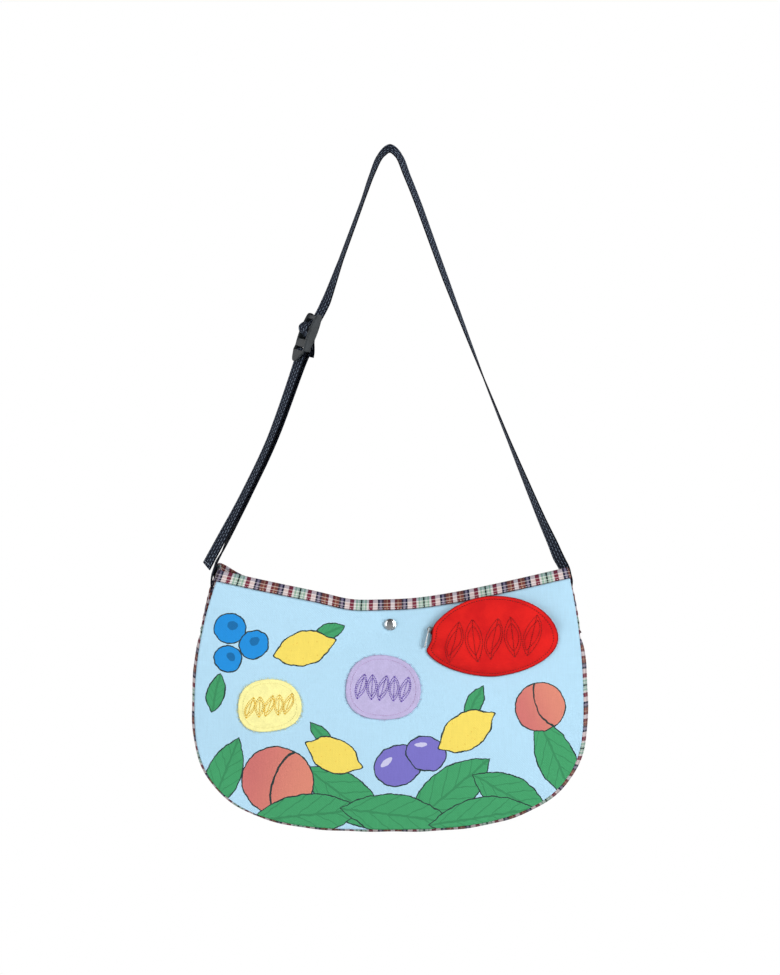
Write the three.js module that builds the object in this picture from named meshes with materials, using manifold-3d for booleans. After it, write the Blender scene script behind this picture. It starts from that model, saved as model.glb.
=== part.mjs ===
// Shoulder bag of printed canvas: two soft walls joined by a plaid gusset, a bound mouth shut by a
// press stud, a webbing strap with an adjuster buckle, two cloth patches and a small zip pouch.
// Millimetres, +Z up, +X to the right seen from the front, -Y towards the viewer.
// The origin is under the top of the hanging strap.

import * as THREE from 'three';
import { mergeVertices } from 'three/addons/utils/BufferGeometryUtils.js';
import Module from 'manifold-3d';

const wasm = await Module();
wasm.setup();

// Cloth and gaps
const CLOTH = 1.5;
const GAP = 0.4;

// Outline of the two walls. Below WIDEST_Z the seam is a half superellipse, above it the sides lean in.
const WIDEST_Z = -559;
const BODY_DROP = 123.5;
const CORNER_POWER = 2.85;
const BOTTOM_SKEW = -6;
const WALLS = {
  front: { facing: -1, left: 195.5, right: 193.4, lean_left: 25, lean_right: 15.5, lift_left: 0, lower: 0, puff: 10 },
  back: { facing: 1, left: 196.0, right: 194.0, lean_left: 22, lean_right: 28, lift_left: 8, lower: 2, puff: 8 },
};

// Mouth line: a soft V, lowest at the press stud, that sags a little left of it
const MOUTH_Z = -454.8;
const MOUTH_SLOPE = 0.252;
const MOUTH_SOFT = 62;
const MOUTH_TILT = 0.004;
const MOUTH_SAG = { x: -40, drop: 2.6, reach: 24 };
const LIFT_REACH = 17;

// Depth of the bag, measured from the middle plane
const DEPTH_TOP = 20;
const DEPTH_BOTTOM = 26.5;
const PINCH = 3.6;
const PINCH_REACH = 0.62;

// Dents and folds of the front wall: soft grooves (rise below 0) and ridges from one point to another
const FOLDS = [
  { x0: 1, z0: -479, x1: 1, z1: -479, width: 22, rise: -2.6 },
  { x0: -8, z0: -482, x1: -80, z1: -513, width: 13, rise: -2.4 },
  { x0: -90, z0: -481, x1: -16, z1: -490, width: 11, rise: 1.5 },
  { x0: -166, z0: -622, x1: -148, z1: -640, width: 24, rise: -3.5 },
  { x0: 120, z0: -560, x1: 165, z1: -600, width: 26, rise: -2.0 },
];
const STUD_DENT = FOLDS.slice(0, 1);

// Gusset
const GUSSET_BULGE = 4.1;
const GUSSET_BULGE_RIGHT = 1.05;
const GUSSET_FLAT = { from: 0.4, to: 0.62 };
const GUSSET_TUCK = { depth: 2.2, from: 0.46, full: 0.6, until: 0.8, end: 0.93, wide: 0.775 };
const GUSSET_RIDGE = { high: 1.4, at: 0.91 };
const RIM_STEP = 1.3;
const RIM_PROUD = 0.7;

// Mouth binding
const BINDING = { drop: 9.3, cloth: 1.0, gap: 0.7, bevel: 0.55 };

// Strap webbing and its sewn ends
const STRAP = { width: 30, thick: 1.6 };
const SEWN = { right_end: -486, left_end: -484, steps: 10, gap: 1.22, over_gap: 1.1, left_rise: 2.5, clear_binding: 13 };

// Free part of the long strap from the right gusset to the buckle: place of its centre line, and twist
// in degrees, where a positive twist turns the front edge away from the loop
const LONG_STRAP = [
  { x: 169.8, z: -411, twist: 20, steps: 2 },
  { x: 163.9, z: -397, twist: 21, steps: 3 },
  { x: 153.3, z: -373.6, twist: 17, steps: 3 },
  { x: 136.1, z: -333.2, twist: 11, steps: 3 },
  { x: 119.5, z: -292.9, twist: 5, steps: 4 },
  { x: 87.2, z: -212.2, twist: 4, steps: 3 },
  { x: 56.5, z: -131.6, twist: 9, steps: 3 },
  { x: 27.2, z: -50.9, twist: 11, steps: 2 },
  { x: 17.6, z: -25.5, twist: 10, steps: 2 },
  { x: 9.9, z: -6.8, twist: 10, steps: 3 },
  { x: 0, z: 0.8, twist: 9, steps: 3 },
  { x: -10.8, z: -6.8, twist: 6, steps: 2 },
  { x: -19.6, z: -25.5, twist: -1, steps: 2 },
  { x: -29.2, z: -50.9, twist: -6, steps: 3 },
  { x: -51, z: -111.5, twist: -9, steps: 3 },
];

const LOOP_MIDDLE_Z = -260;

// Free part of the short strap: the strand under load, then the loose tail outside it
const LOAD_STRAND = [
  { x: -169.6, z: -406.5, twist: -3, steps: 2 },
  { x: -163.4, z: -391, twist: -8, steps: 3 },
  { x: -146.5, z: -353.4, twist: -15, steps: 4 },
  { x: -118.0, z: -293.5, twist: -17, steps: 3 },
];
const TAIL = [
  { x: -121.4, z: -292.0, twist: -17, steps: 4 },
  { x: -150.2, z: -351.8, twist: -18, steps: 3 },
  { x: -170.0, z: -390.5, twist: -20, steps: 2 },
  { x: -185.0, z: -420.2, twist: -21, steps: 1 },
];

// Buckle: a moulded ladder with rails, flat bars, a round end bar and a lifting tab. Local axes are
// "along" down the strap, "across" away from the viewer and "out" away from the strap loop.
const LEG_LEAN = 21;
const BUCKLE = { x: -73.6, z: -162.7, twist: -20 };
const RAIL = { start: 3.5, end: 43.3, inner: 15.7, outer: 19.2, low: -4.2, high: 5.2, round: 3.2 };
const BAR = { half_thick: 1.4, round: 0.9 };
const END_BAR = { along: 41, out: -2.7, radius: 1.5 };
const BARS = [
  { start: 5.5, end: 9.5 },
  { start: 18.5, end: 22.5 },
  { start: 31.5, end: 35.5 },
];
const TAB = { start: 31.5, long: 24.2, root_out: 1.8, slope: 5, thick: 2.2, clip: 2.5 };
const TAB_HALF = { root: 17, tip: 6.5, taper_from: 13 };
const TAB_SLOT = { start: 7.4, end: 12.2, half: 14.3, round: 1 };

// Threading of the long strap through the buckle, as along and out
const THREAD_LONG = [
  { along: -12, out: -5.4, steps: 2 },
  { along: 0, out: -4.4, steps: 2 },
  { along: 6, out: -3.5, steps: 2 },
  { along: 10.8, out: -2.6, steps: 2 },
  { along: 13.4, out: -0.4, steps: 2 },
  { along: 14.8, out: 2.2, steps: 2 },
  { along: 16.9, out: 4.8, steps: 2 },
  { along: 20.2, out: 6.1, steps: 2 },
  { along: 23.6, out: 4.8, steps: 2 },
  { along: 25.7, out: 2.3, steps: 2 },
  { along: 26.7, out: 0, steps: 2 },
  { along: 27.6, out: -2.2, steps: 2 },
  { along: 29.2, out: -3.8, steps: 2 },
  { along: 32, out: -4.8, steps: 2 },
  { along: 36, out: -6.6, steps: 2 },
  { along: 41, out: -8.5, steps: 2 },
  { along: 46, out: -9.6, steps: 1 },
];
const LOOP_STEPS = 8;
const LOOP_RADIUS = 2.75;
const LOOP_LEAD = 9;
const LOOP_CLOSING = 0.7;

// Press stud
const SNAP = { x: 0.6, z: -479, lift: 2, stud_radius: 4.2 };
const CAP = { radius: 6, high: 2.1, rim_high: 0.6, dome_start: 0.7, dome_radius: 5.4 };

// Cloth patches on the front wall
const PATCH = { thick: 1.0, lift: 0.35 };
const PATCHES = {
  patch_oval: { x: -120.5, z: -558.8, half_wide: 32.5, half_high: 26.5, turn: 6, wobble: 0.025 },
  patch_round: { x: -7, z: -541.3, half_wide: 38.2, half_high: 32.2, turn: -4, wobble: 0.02 },
};

// Zip pouch: a leaf outline whose quarters are superellipses
const POUCH = { x: 102.3, z: -496.7, half_long: 66, tilt: 6.3, crown: 10.5, cloth: 1.3, lift: 0.4 };
const POUCH_QUARTERS = {
  upper_right: { high: 46, power: 2.0 },
  upper_left: { high: 46, power: 1.8 },
  lower_left: { high: 32.8, power: 1.6 },
  lower_right: { high: 32.8, power: 2.0 },
};
const ZIP = { wall: 7.4, inset: 1.4, thick: 1.2, top_gap: 0.6, start: 25, end: 158, steps: 30 };
const WALL_RISE = { from: 0.02, to: 0.36 };
const SLIDER = { turn: 154, long: 6, body: 1.5, wide: 5.4, axis_out: 3.4 };
const BRIDGE = { wide: 1.4, top: 5.0, foot: 1.1, foot_half: 2.7, hip: 4.0, hip_half: 2.2, top_half: 1.2 };
const WINDOW = { low: 1.65, high: 4.25, half_long: 1.2, round: 0.3 };
const PULL = { long: 20, wide: 4.4, thick: 0.9, bar: 0.9, lean: 12, clip: 1.4 };
const PULL_WINDOW = { wide: 2.3, long: 3.9, round: 0.3 };
const PULL_SLOT = { wide: 0.8, long: 3.2, from_tip: 3.6 };

const vec = (x, y, z) => new THREE.Vector3(x, y, z);
const rad = THREE.MathUtils.degToRad;
const mix = THREE.MathUtils.lerp;
const ease = (low, high, t) => THREE.MathUtils.smoothstep(t, low, high);
const range = (count) => Array.from({ length: count + 1 }, (_, i) => i / count);

// A closed solid from quads of points, with shared corners merged and faces turned outwards
function solidFromQuads(quads) {
  const corners = [];
  for (const [a, b, c, d] of quads) corners.push(a, b, c, a, c, d);
  let geometry = new THREE.BufferGeometry().setFromPoints(corners);
  geometry = mergeVertices(geometry, 1e-3);
  const index = geometry.index.array;
  const kept = [];
  for (let i = 0; i < index.length; i += 3) {
    const [a, b, c] = [index[i], index[i + 1], index[i + 2]];
    if (a !== b && b !== c && a !== c) kept.push(a, b, c);
  }
  const place = geometry.attributes.position;
  const corner = (i) => vec().fromBufferAttribute(place, i);
  let volume = 0;
  for (let i = 0; i < kept.length; i += 3) {
    volume += corner(kept[i]).dot(corner(kept[i + 1]).cross(corner(kept[i + 2])));
  }
  geometry.setIndex(volume < 0 ? kept.reverse() : kept);
  return geometry;
}

// A wall between two equal grids of points; a wrapped grid closes on itself along its first index
function wall(outer, inner, wrapped = false) {
  const rows = outer.length;
  const last = outer[0].length - 1;
  const quads = [];
  for (let i = 0; i < (wrapped ? rows : rows - 1); i++) {
    const k = (i + 1) % rows;
    for (let j = 0; j < last; j++) {
      quads.push([outer[i][j], outer[k][j], outer[k][j + 1], outer[i][j + 1]]);
      quads.push([inner[i][j], inner[i][j + 1], inner[k][j + 1], inner[k][j]]);
    }
    quads.push([outer[k][0], outer[i][0], inner[i][0], inner[k][0]]);
    quads.push([outer[i][last], outer[k][last], inner[k][last], inner[i][last]]);
  }
  for (let j = 0; !wrapped && j < last; j++) {
    const end = rows - 1;
    quads.push([outer[0][j], outer[0][j + 1], inner[0][j + 1], inner[0][j]]);
    quads.push([outer[end][j + 1], outer[end][j], inner[end][j], inner[end][j + 1]]);
  }
  return solidFromQuads(quads);
}

// Rings of points joined in order; an open run of rings is capped at both ends
function sweep(rings, closed = false) {
  const sides = rings[0].length;
  const quads = [];
  for (let i = 0; i < (closed ? rings.length : rings.length - 1); i++) {
    const next = rings[(i + 1) % rings.length];
    for (let j = 0; j < sides; j++) {
      const k = (j + 1) % sides;
      quads.push([rings[i][j], next[j], next[k], rings[i][k]]);
    }
  }
  if (!closed) {
    const [first, end] = [rings[0], rings[rings.length - 1]];
    quads.push([first[0], first[1], first[2], first[3]]);
    quads.push([end[3], end[2], end[1], end[0]]);
  }
  return solidFromQuads(quads);
}

function toManifold(geometry) {
  const bare = new THREE.BufferGeometry();
  bare.setAttribute('position', geometry.attributes.position);
  if (geometry.index) bare.setIndex(geometry.index);
  const merged = mergeVertices(bare, 1e-4);
  return new wasm.Manifold(new wasm.Mesh({
    numProp: 3,
    vertProperties: new Float32Array(merged.attributes.position.array),
    triVerts: new Uint32Array(merged.index.array),
  }));
}

function fromManifold(solid) {
  const mesh = solid.getMesh();
  const geometry = new THREE.BufferGeometry();
  geometry.setAttribute('position', new THREE.BufferAttribute(mesh.vertProperties, 3));
  geometry.setIndex(new THREE.BufferAttribute(mesh.triVerts, 1));
  return geometry;
}

const joined = (pieces) => fromManifold(pieces.map(toManifold).reduce((a, b) => a.add(b)));
const cut = (piece, tool) => fromManifold(toManifold(piece).subtract(toManifold(tool)));

// Outline and depth of the walls

function mouthZ(x, face) {
  const rise = MOUTH_SLOPE * (Math.hypot(x, MOUTH_SOFT) - MOUTH_SOFT) + MOUTH_TILT * x;
  const corner = (x + face.left - face.lean_left) / LIFT_REACH;
  const sag = (x - MOUTH_SAG.x) / MOUTH_SAG.reach;
  const local = face.lift_left * Math.exp(-corner * corner) - MOUTH_SAG.drop * Math.exp(-sag * sag);
  return MOUTH_Z + rise + local - face.lower;
}

function halfWidth(face, side, z) {
  const base = side < 0 ? face.left : face.right;
  if (z <= WIDEST_Z) {
    const t = Math.min((WIDEST_Z - z) / BODY_DROP, 1);
    return base * (1 - t ** CORNER_POWER) ** (1 / CORNER_POWER);
  }
  const lean = side < 0 ? face.lean_left : face.lean_right;
  const top = mouthZ(side * (base - lean), face);
  return base - lean * ((z - WIDEST_Z) / (top - WIDEST_Z)) ** 2;
}

function foldRise(x, z, folds) {
  let rise = 0;
  for (const fold of folds) {
    const line = new THREE.Line3(vec(fold.x0, 0, fold.z0), vec(fold.x1, 0, fold.z1));
    const from = vec(x, 0, z);
    const near = line.closestPointToPoint(from, true, vec());
    const away = (Number.isNaN(near.x) ? line.start : near).distanceTo(from) / fold.width;
    rise += fold.rise * Math.exp(-away * away);
  }
  return rise;
}

// Distance of a wall's middle surface from the bag's middle plane
function depth(x, z, face) {
  const top = mouthZ(x, face);
  const q = THREE.MathUtils.clamp((top - z) / (top - WIDEST_Z + BODY_DROP), 0, 1);
  const t = Math.max((WIDEST_Z - z) / BODY_DROP, 0);
  const centred = x - BOTTOM_SKEW * t ** 4;
  const r = Math.min(Math.abs(centred) / Math.max(halfWidth(face, Math.sign(centred) || 1, z), 1), 1);
  const seam = mix(DEPTH_TOP, DEPTH_BOTTOM, q);
  const corner = face.left - face.lean_left;
  const mouth = mix(PINCH, DEPTH_TOP, Math.min(Math.abs(x) / corner, 1) ** 1.5);
  const pinch = (seam - mouth) * (1 - ease(0, PINCH_REACH, q)) * (1 - r ** 8);
  const inside = (1 - r * r) * Math.sin(Math.PI * q);
  const folds = face.facing < 0 ? FOLDS : STUD_DENT;
  return seam + face.puff * inside - pinch + foldRise(x, z, folds) * (1 - r ** 8);
}

// Middle surface of a wall: u runs from seam to seam, v from the mouth (-1) past the widest line (0)
// to the bottom seam (1)
function wallPoint(face, u, v) {
  const base = u < 0 ? face.left : face.right;
  const lean = u < 0 ? face.lean_left : face.lean_right;
  let x = u * (base - lean * v * v);
  let z = mix(WIDEST_Z, mouthZ(u * (base - lean), face), -v);
  if (v > 0) {
    const n = CORNER_POWER;
    const t = v * (1 - Math.abs(u) ** n / 2) ** (1 / n);
    x = base * u * (1 - v ** n / 2) ** (1 / n) + BOTTOM_SKEW * t ** 4;
    z = WIDEST_Z - BODY_DROP * t;
  }
  return vec(x, face.facing * depth(x, z, face), z);
}

const COLUMNS = range(26).map((t) => 2 * t - 1);
const BOUND_ROW = 0.91;
const ROWS = [-1, ...range(8).map((t) => BOUND_ROW * (t - 1)), ...range(8).slice(1)];

function panel(face) {
  const grid = COLUMNS.map((u) => ROWS.map((v) => wallPoint(face, u, v)));
  const shift = (y) => grid.map((line) => line.map((p) => p.clone().add(vec(0, y, 0))));
  return wall(shift(CLOTH / 2), shift(-CLOTH / 2));
}

// Stations along the seam, from the left mouth corner round the bottom to the right one
const SEAM = [
  ...ROWS.map((v) => [-1, v]),
  ...COLUMNS.slice(1, -1).map((u) => [u, 1]),
  ...ROWS.map((v) => [1, v]).reverse(),
];

// Gusset middle surface at a seam station, from the front seam (w = -1) to the back one (w = 1)
function gussetPoint([u, v], w) {
  const front = wallPoint(WALLS.front, u, v);
  const back = wallPoint(WALLS.back, u, v);
  const side = front.x / WALLS.front.left;
  const loss = ease(GUSSET_FLAT.from, GUSSET_FLAT.to, -v);
  const { depth: deep, from, full, until, end, wide } = GUSSET_TUCK;
  const { high, at } = GUSSET_RIDGE;
  const edge = Math.abs(w) < at ? ease(wide, at, Math.abs(w)) * (deep + high) - deep : high * (1 - ease(at, 1, Math.abs(w)));
  const sunk = ease(from, full, -v) * (1 - ease(until, end, -v));
  const bulge = (GUSSET_BULGE + GUSSET_BULGE_RIGHT * side) * (1 - loss) * (1 - w * w) + sunk * edge;
  front.y += RIM_STEP;
  back.y -= RIM_STEP;
  return front.lerp(back, (w + 1) / 2).addScaledVector(seamNormal([u, v]), bulge + RIM_PROUD - CLOTH / 2);
}

function seamNormal([u, v]) {
  const step = 0.02;
  const along = Math.abs(u) === 1 && v < 1 ? [0, step * -u] : [step, 0];
  const onSeam = (sign) => {
    const across = THREE.MathUtils.clamp(u + sign * along[0], -1, 1);
    return wallPoint(WALLS.front, across, Math.min(v + sign * along[1], 1));
  };
  const tangent = onSeam(1).sub(onSeam(-1)).setY(0).normalize();
  return vec(tangent.z, 0, -tangent.x);
}

const ACROSS = [-1, -0.91, -0.775, -0.4, 0, 0.4, 0.775, 0.91, 1];

function gusset() {
  const offset = (d) => SEAM.map((place) => {
    const normal = seamNormal(place);
    return ACROSS.map((w) => gussetPoint(place, w).addScaledVector(normal, d));
  });
  return wall(offset(CLOTH / 2), offset(-CLOTH / 2));
}

// Mouth loop at a depth below the edge: front wall, right gusset, back wall, left gusset
function mouthLoop(down) {
  const rowAt = (face, u) => {
    const base = u < 0 ? face.left - face.lean_left : face.right - face.lean_right;
    return -1 + down / (mouthZ(u * base, face) - WIDEST_Z);
  };
  const edge = (face) => COLUMNS.map((u) => {
    const row = rowAt(face, u);
    const p = wallPoint(face, u, row);
    if (Math.abs(u) < 1) return p;
    const corner = 1 + RIM_STEP / (Math.abs(p.y) - RIM_STEP);
    return gussetPoint([u, row], face.facing * corner);
  });
  const side = (u) => ACROSS.slice(1, -1).map((w) => gussetPoint([u, rowAt(WALLS.front, u)], w));
  return [...edge(WALLS.front), ...side(1), ...edge(WALLS.back).reverse(), ...side(-1).reverse()];
}

// Sideways direction at each loop point that keeps both neighbouring runs at an equal offset
function mitres(loop) {
  return loop.map((p, i) => {
    const before = loop[(i + loop.length - 1) % loop.length];
    const after = loop[(i + 1) % loop.length];
    const a = vec(p.y - before.y, before.x - p.x, 0).normalize();
    const b = vec(after.y - p.y, p.x - after.x, 0).normalize();
    return a.clone().add(b).divideScalar(1 + a.dot(b));
  });
}

function mouthBinding() {
  const near = CLOTH / 2 + BINDING.gap;
  const far = near + BINDING.cloth;
  const { drop: low, bevel } = BINDING;
  const lid = -BINDING.gap;
  const top = lid - BINDING.cloth;
  const section = [
    [far, low], [far, top + bevel], [far - bevel, top], [bevel - far, top], [-far, top + bevel],
    [-far, low], [-near, low], [-near, lid], [near, lid], [near, low],
  ];
  const levels = section.map(([out, down]) => {
    const loop = mouthLoop(down);
    const sideways = mitres(loop);
    return loop.map((p, i) => p.clone().addScaledVector(sideways[i], out));
  });
  return sweep(levels[0].map((_, i) => levels.map((level) => level[i])), true);
}

// Outward normal of a wall, and a point held off its outer face along that normal
function wallNormal(face, x, z) {
  const h = 1;
  const slopeX = (depth(x + h, z, face) - depth(x - h, z, face)) / (2 * h);
  const slopeZ = (depth(x, z + h, face) - depth(x, z - h, face)) / (2 * h);
  return vec(-slopeX, face.facing, -slopeZ).normalize();
}

function offWall(face, x, z, high) {
  const p = vec(x, face.facing * (depth(x, z, face) + CLOTH / 2), z);
  return p.addScaledVector(wallNormal(face, x, z), high);
}

const onFront = (x, z, high) => offWall(WALLS.front, x, z, high);

// Webbing

function ribbon(stations) {
  const rings = stations.map((s, i) => {
    const before = stations[Math.max(i - 1, 0)].p;
    const after = stations[Math.min(i + 1, stations.length - 1)].p;
    const tangent = after.clone().sub(before).normalize();
    const across = s.across.clone().addScaledVector(tangent, -s.across.dot(tangent)).normalize();
    const normal = tangent.clone().cross(across);
    const corner = (a, b) => s.p.clone()
      .addScaledVector(across, (a * STRAP.width) / 2)
      .addScaledVector(normal, (b * STRAP.thick) / 2);
    return [corner(1, 1), corner(-1, 1), corner(-1, -1), corner(1, -1)];
  });
  return sweep(rings);
}

// Smooth run of stations through rows of place, twist, outward direction and steps to the next row
function stationsThrough(rows) {
  const curve = new THREE.CatmullRomCurve3(rows.map((row) => row.p), false, 'centripetal');
  const spans = rows.length - 1;
  const stations = [];
  rows.forEach((row, i) => {
    const next = rows[Math.min(i + 1, spans)];
    const steps = i < spans ? row.steps : 1;
    for (let k = 0; k < steps; k++) {
      const t = k / steps;
      const out = row.out.clone().lerp(next.out, t).normalize();
      const twist = rad(mix(row.twist, next.twist, t));
      const across = vec(0, -Math.cos(twist), 0).addScaledVector(out, Math.sin(twist));
      stations.push({ p: curve.getPoint((i + t) / spans), across });
    }
  });
  return stations;
}

// Outward direction of each free row of the loop, from its neighbours
function freeRows(table, outward) {
  return table.map((row, i) => {
    const before = table[Math.max(i - 1, 0)];
    const after = table[Math.min(i + 1, table.length - 1)];
    const out = vec(after.z - before.z, 0, before.x - after.x).normalize();
    if (out.dot(outward(row)) < 0) out.negate();
    return { p: vec(row.x, 0, row.z), twist: row.twist, steps: row.steps, out };
  });
}

const fromLoop = (row) => vec(row.x, 0, row.z - LOOP_MIDDLE_Z);
const toLeft = () => vec(-1, 0, 0);

// Rows of a sewn strap end, lying on the gusset and over the binding
function sewnRows(side, end) {
  const corner = mouthZ(side * (WALLS.front.right - WALLS.front.lean_right), WALLS.front);
  const highest = corner + BINDING.cloth + BINDING.gap + (side < 0 ? SEWN.left_rise : 0);
  return range(SEWN.steps).map((t) => {
    const z = mix(end, highest, t);
    const v = -(z - WIDEST_Z) / (corner - WIDEST_Z);
    const over = ease(corner - BINDING.drop - SEWN.clear_binding, corner - BINDING.drop, z);
    const clear = mix(SEWN.gap, BINDING.gap + BINDING.cloth + SEWN.over_gap, over);
    const proud = CLOTH / 2 + clear + STRAP.thick / 2;
    const normal = seamNormal([side, v]);
    const front = gussetPoint([side, v], -0.7);
    const back = gussetPoint([side, v], 0.7);
    const twist = THREE.MathUtils.radToDeg(Math.atan2(side * (front.x - back.x), back.y - front.y));
    const p = gussetPoint([side, v], 0).addScaledVector(normal, proud).setY(0);
    return { p, twist, steps: 1, out: normal };
  });
}

const LEG = {
  along: vec(-Math.sin(rad(LEG_LEAN)), 0, -Math.cos(rad(LEG_LEAN))),
  out: vec(-Math.cos(rad(LEG_LEAN)), 0, Math.sin(rad(LEG_LEAN))),
};
const BUCKLE_OUT = LEG.out.clone().multiplyScalar(Math.cos(rad(BUCKLE.twist)))
  .add(vec(0, Math.sin(rad(BUCKLE.twist)), 0));
const BUCKLE_ACROSS = LEG.along.clone().cross(BUCKLE_OUT);

function inBuckle(along, out, steps) {
  const p = vec(BUCKLE.x, 0, BUCKLE.z).addScaledVector(LEG.along, along).addScaledVector(BUCKLE_OUT, out);
  return { p, twist: BUCKLE.twist, steps, out: LEG.out };
}

function strapLong() {
  const rows = [
    ...sewnRows(1, SEWN.right_end),
    ...freeRows(LONG_STRAP, fromLoop),
    ...THREAD_LONG.map((row) => inBuckle(row.along, row.out, row.steps)),
  ];
  return ribbon(stationsThrough(rows));
}

function strapShort() {
  const loop = range(LOOP_STEPS).map((t) => {
    const turn = Math.PI * t;
    return inBuckle(END_BAR.along - LOOP_RADIUS * Math.sin(turn), END_BAR.out - LOOP_RADIUS * Math.cos(turn), 1);
  });
  const rows = [
    ...sewnRows(-1, SEWN.left_end),
    ...freeRows(LOAD_STRAND, toLeft),
    inBuckle(END_BAR.along + LOOP_LEAD, END_BAR.out - LOOP_RADIUS + LOOP_CLOSING, 3),
    ...loop,
    inBuckle(END_BAR.along + LOOP_LEAD, END_BAR.out + LOOP_RADIUS - LOOP_CLOSING, 4),
    ...freeRows(TAIL, toLeft),
  ];
  return ribbon(stationsThrough(rows));
}

// A flat shape in the buckle's along and out plane, carried across it from one place to another
function acrossBuckle(shape, from, to) {
  const geometry = new THREE.ExtrudeGeometry(shape, { depth: to - from, bevelEnabled: false });
  return geometry.translate(0, 0, from);
}

function roundedRectangle(x0, y0, x1, y1, r) {
  const shape = new THREE.Shape();
  shape.moveTo(x0 + r, y0).lineTo(x1 - r, y0).quadraticCurveTo(x1, y0, x1, y0 + r);
  shape.lineTo(x1, y1 - r).quadraticCurveTo(x1, y1, x1 - r, y1);
  shape.lineTo(x0 + r, y1).quadraticCurveTo(x0, y1, x0, y1 - r);
  shape.lineTo(x0, y0 + r).quadraticCurveTo(x0, y0, x0 + r, y0);
  return new THREE.Shape(shape.getPoints(3));
}

function buckle() {
  const rail = roundedRectangle(RAIL.start, RAIL.low, RAIL.end, RAIL.high, RAIL.round);
  const reach = (RAIL.inner + RAIL.outer) / 2;
  const pieces = [
    acrossBuckle(rail, RAIL.inner, RAIL.outer),
    acrossBuckle(rail, -RAIL.outer, -RAIL.inner),
  ];
  for (const bar of BARS) {
    const section = roundedRectangle(bar.start, -BAR.half_thick, bar.end, BAR.half_thick, BAR.round);
    pieces.push(acrossBuckle(section, -reach, reach));
  }
  const round = new THREE.CylinderGeometry(END_BAR.radius, END_BAR.radius, 2 * reach, 10);
  pieces.push(round.rotateX(Math.PI / 2).translate(END_BAR.along, END_BAR.out, 0));
  pieces.push(buckleTab());
  return joined(pieces);
}

// A flat shape from the corners of its lower half, repeated above its first axis
function mirroredShape(lower) {
  const upper = lower.map(([x, y]) => [x, -y]).reverse();
  return new THREE.Shape([...lower, ...upper].map(([x, y]) => new THREE.Vector2(x, y)));
}

// The tab is a tapered plate with a slot at its root, leaning out from the last flat bar
function buckleTab() {
  const { long, clip } = TAB;
  const { root, tip, taper_from } = TAB_HALF;
  const plate = mirroredShape([
    [0, -root], [taper_from, -root], [long - clip, -tip], [long, clip - tip],
  ]);
  const { start, end, half, round } = TAB_SLOT;
  plate.holes.push(roundedRectangle(start, -half, end, half, round));
  const geometry = new THREE.ExtrudeGeometry(plate, { depth: TAB.thick, bevelEnabled: false });
  geometry.rotateX(Math.PI / 2).translate(0, TAB.thick / 2, 0).rotateZ(rad(TAB.slope));
  return geometry.translate(TAB.start, TAB.root_out, 0);
}

// Press stud pieces are turned about the front wall's normal at the stud

function turned(profile) {
  const points = profile.map(([r, y]) => new THREE.Vector2(r, y));
  return solidFromLathe(new THREE.LatheGeometry(points, 20));
}

function solidFromLathe(geometry) {
  geometry.deleteAttribute('normal');
  geometry.deleteAttribute('uv');
  const place = geometry.attributes.position;
  const index = geometry.index.array;
  const quads = [];
  for (let i = 0; i < index.length; i += 3) {
    const [a, b, c] = [0, 1, 2].map((k) => vec().fromBufferAttribute(place, index[i + k]));
    quads.push([a, b, c, c]);
  }
  return solidFromQuads(quads);
}

function capProfile() {
  const { radius, high, rim_high, dome_start, dome_radius } = CAP;
  const dome = range(4).slice(0, -1).map((t) => {
    const turn = (t * Math.PI) / 2;
    return [dome_radius * Math.cos(turn), mix(dome_start, high, Math.sin(turn))];
  });
  return [[0, 0], [radius, 0], [radius, rim_high], ...dome, [0, high]];
}

// Patches and pouch

function patch({ x, z, half_wide, half_high, turn, wobble }) {
  const rim = range(24).slice(0, -1).map((t) => {
    const angle = 2 * Math.PI * t;
    const reach = 1 + wobble * Math.cos(3 * angle + 1) - wobble * Math.cos(4 * angle);
    const flat = new THREE.Vector2(half_wide * Math.cos(angle), half_high * Math.sin(angle));
    return flat.multiplyScalar(reach).rotateAround(new THREE.Vector2(), rad(turn));
  });
  const at = (high) => rim.map((p) => range(4).map((r) => onFront(x + r * p.x, z + r * p.y, high)));
  return wall(at(PATCH.lift + PATCH.thick), at(PATCH.lift), true);
}

// Pouch outline at an angle from its right tip, in its own axes
function pouchEdge(angle) {
  const [c, s] = [Math.cos(angle), Math.sin(angle)];
  const quarter = POUCH_QUARTERS[`${s < 0 ? 'lower' : 'upper'}_${c < 0 ? 'left' : 'right'}`];
  const bend = (value) => Math.sign(value) * Math.abs(value) ** (2 / quarter.power);
  return new THREE.Vector2(POUCH.half_long * bend(c), quarter.high * bend(s));
}

function onPouch(flat, high) {
  const p = flat.clone().rotateAround(new THREE.Vector2(), rad(POUCH.tilt));
  return onFront(POUCH.x + p.x, POUCH.z + p.y, high);
}

function pouchRim(angle) {
  return mix(POUCH.lift, ZIP.wall, ease(WALL_RISE.from, WALL_RISE.to, Math.sin(angle)));
}

function pouchFront() {
  const turns = range(40).slice(0, -1).map((t) => 2 * Math.PI * t);
  const at = (extra) => turns.map((angle) => range(5).map((t) => {
    const r = t ** 0.7;
    const high = mix(POUCH.crown, pouchRim(angle), r ** 5) + extra;
    return onPouch(pouchEdge(angle).multiplyScalar(r), high);
  }));
  return wall(at(POUCH.cloth), at(0), true);
}

// Point on the zip's middle line, moved outwards in the front wall's plane
function zipPoint(angle, outwards, high) {
  const step = 0.01;
  const tangent = pouchEdge(angle + step).sub(pouchEdge(angle - step)).normalize();
  const normal = new THREE.Vector2(tangent.y, -tangent.x);
  return onPouch(pouchEdge(angle).addScaledVector(normal, outwards - ZIP.inset), high);
}

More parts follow.
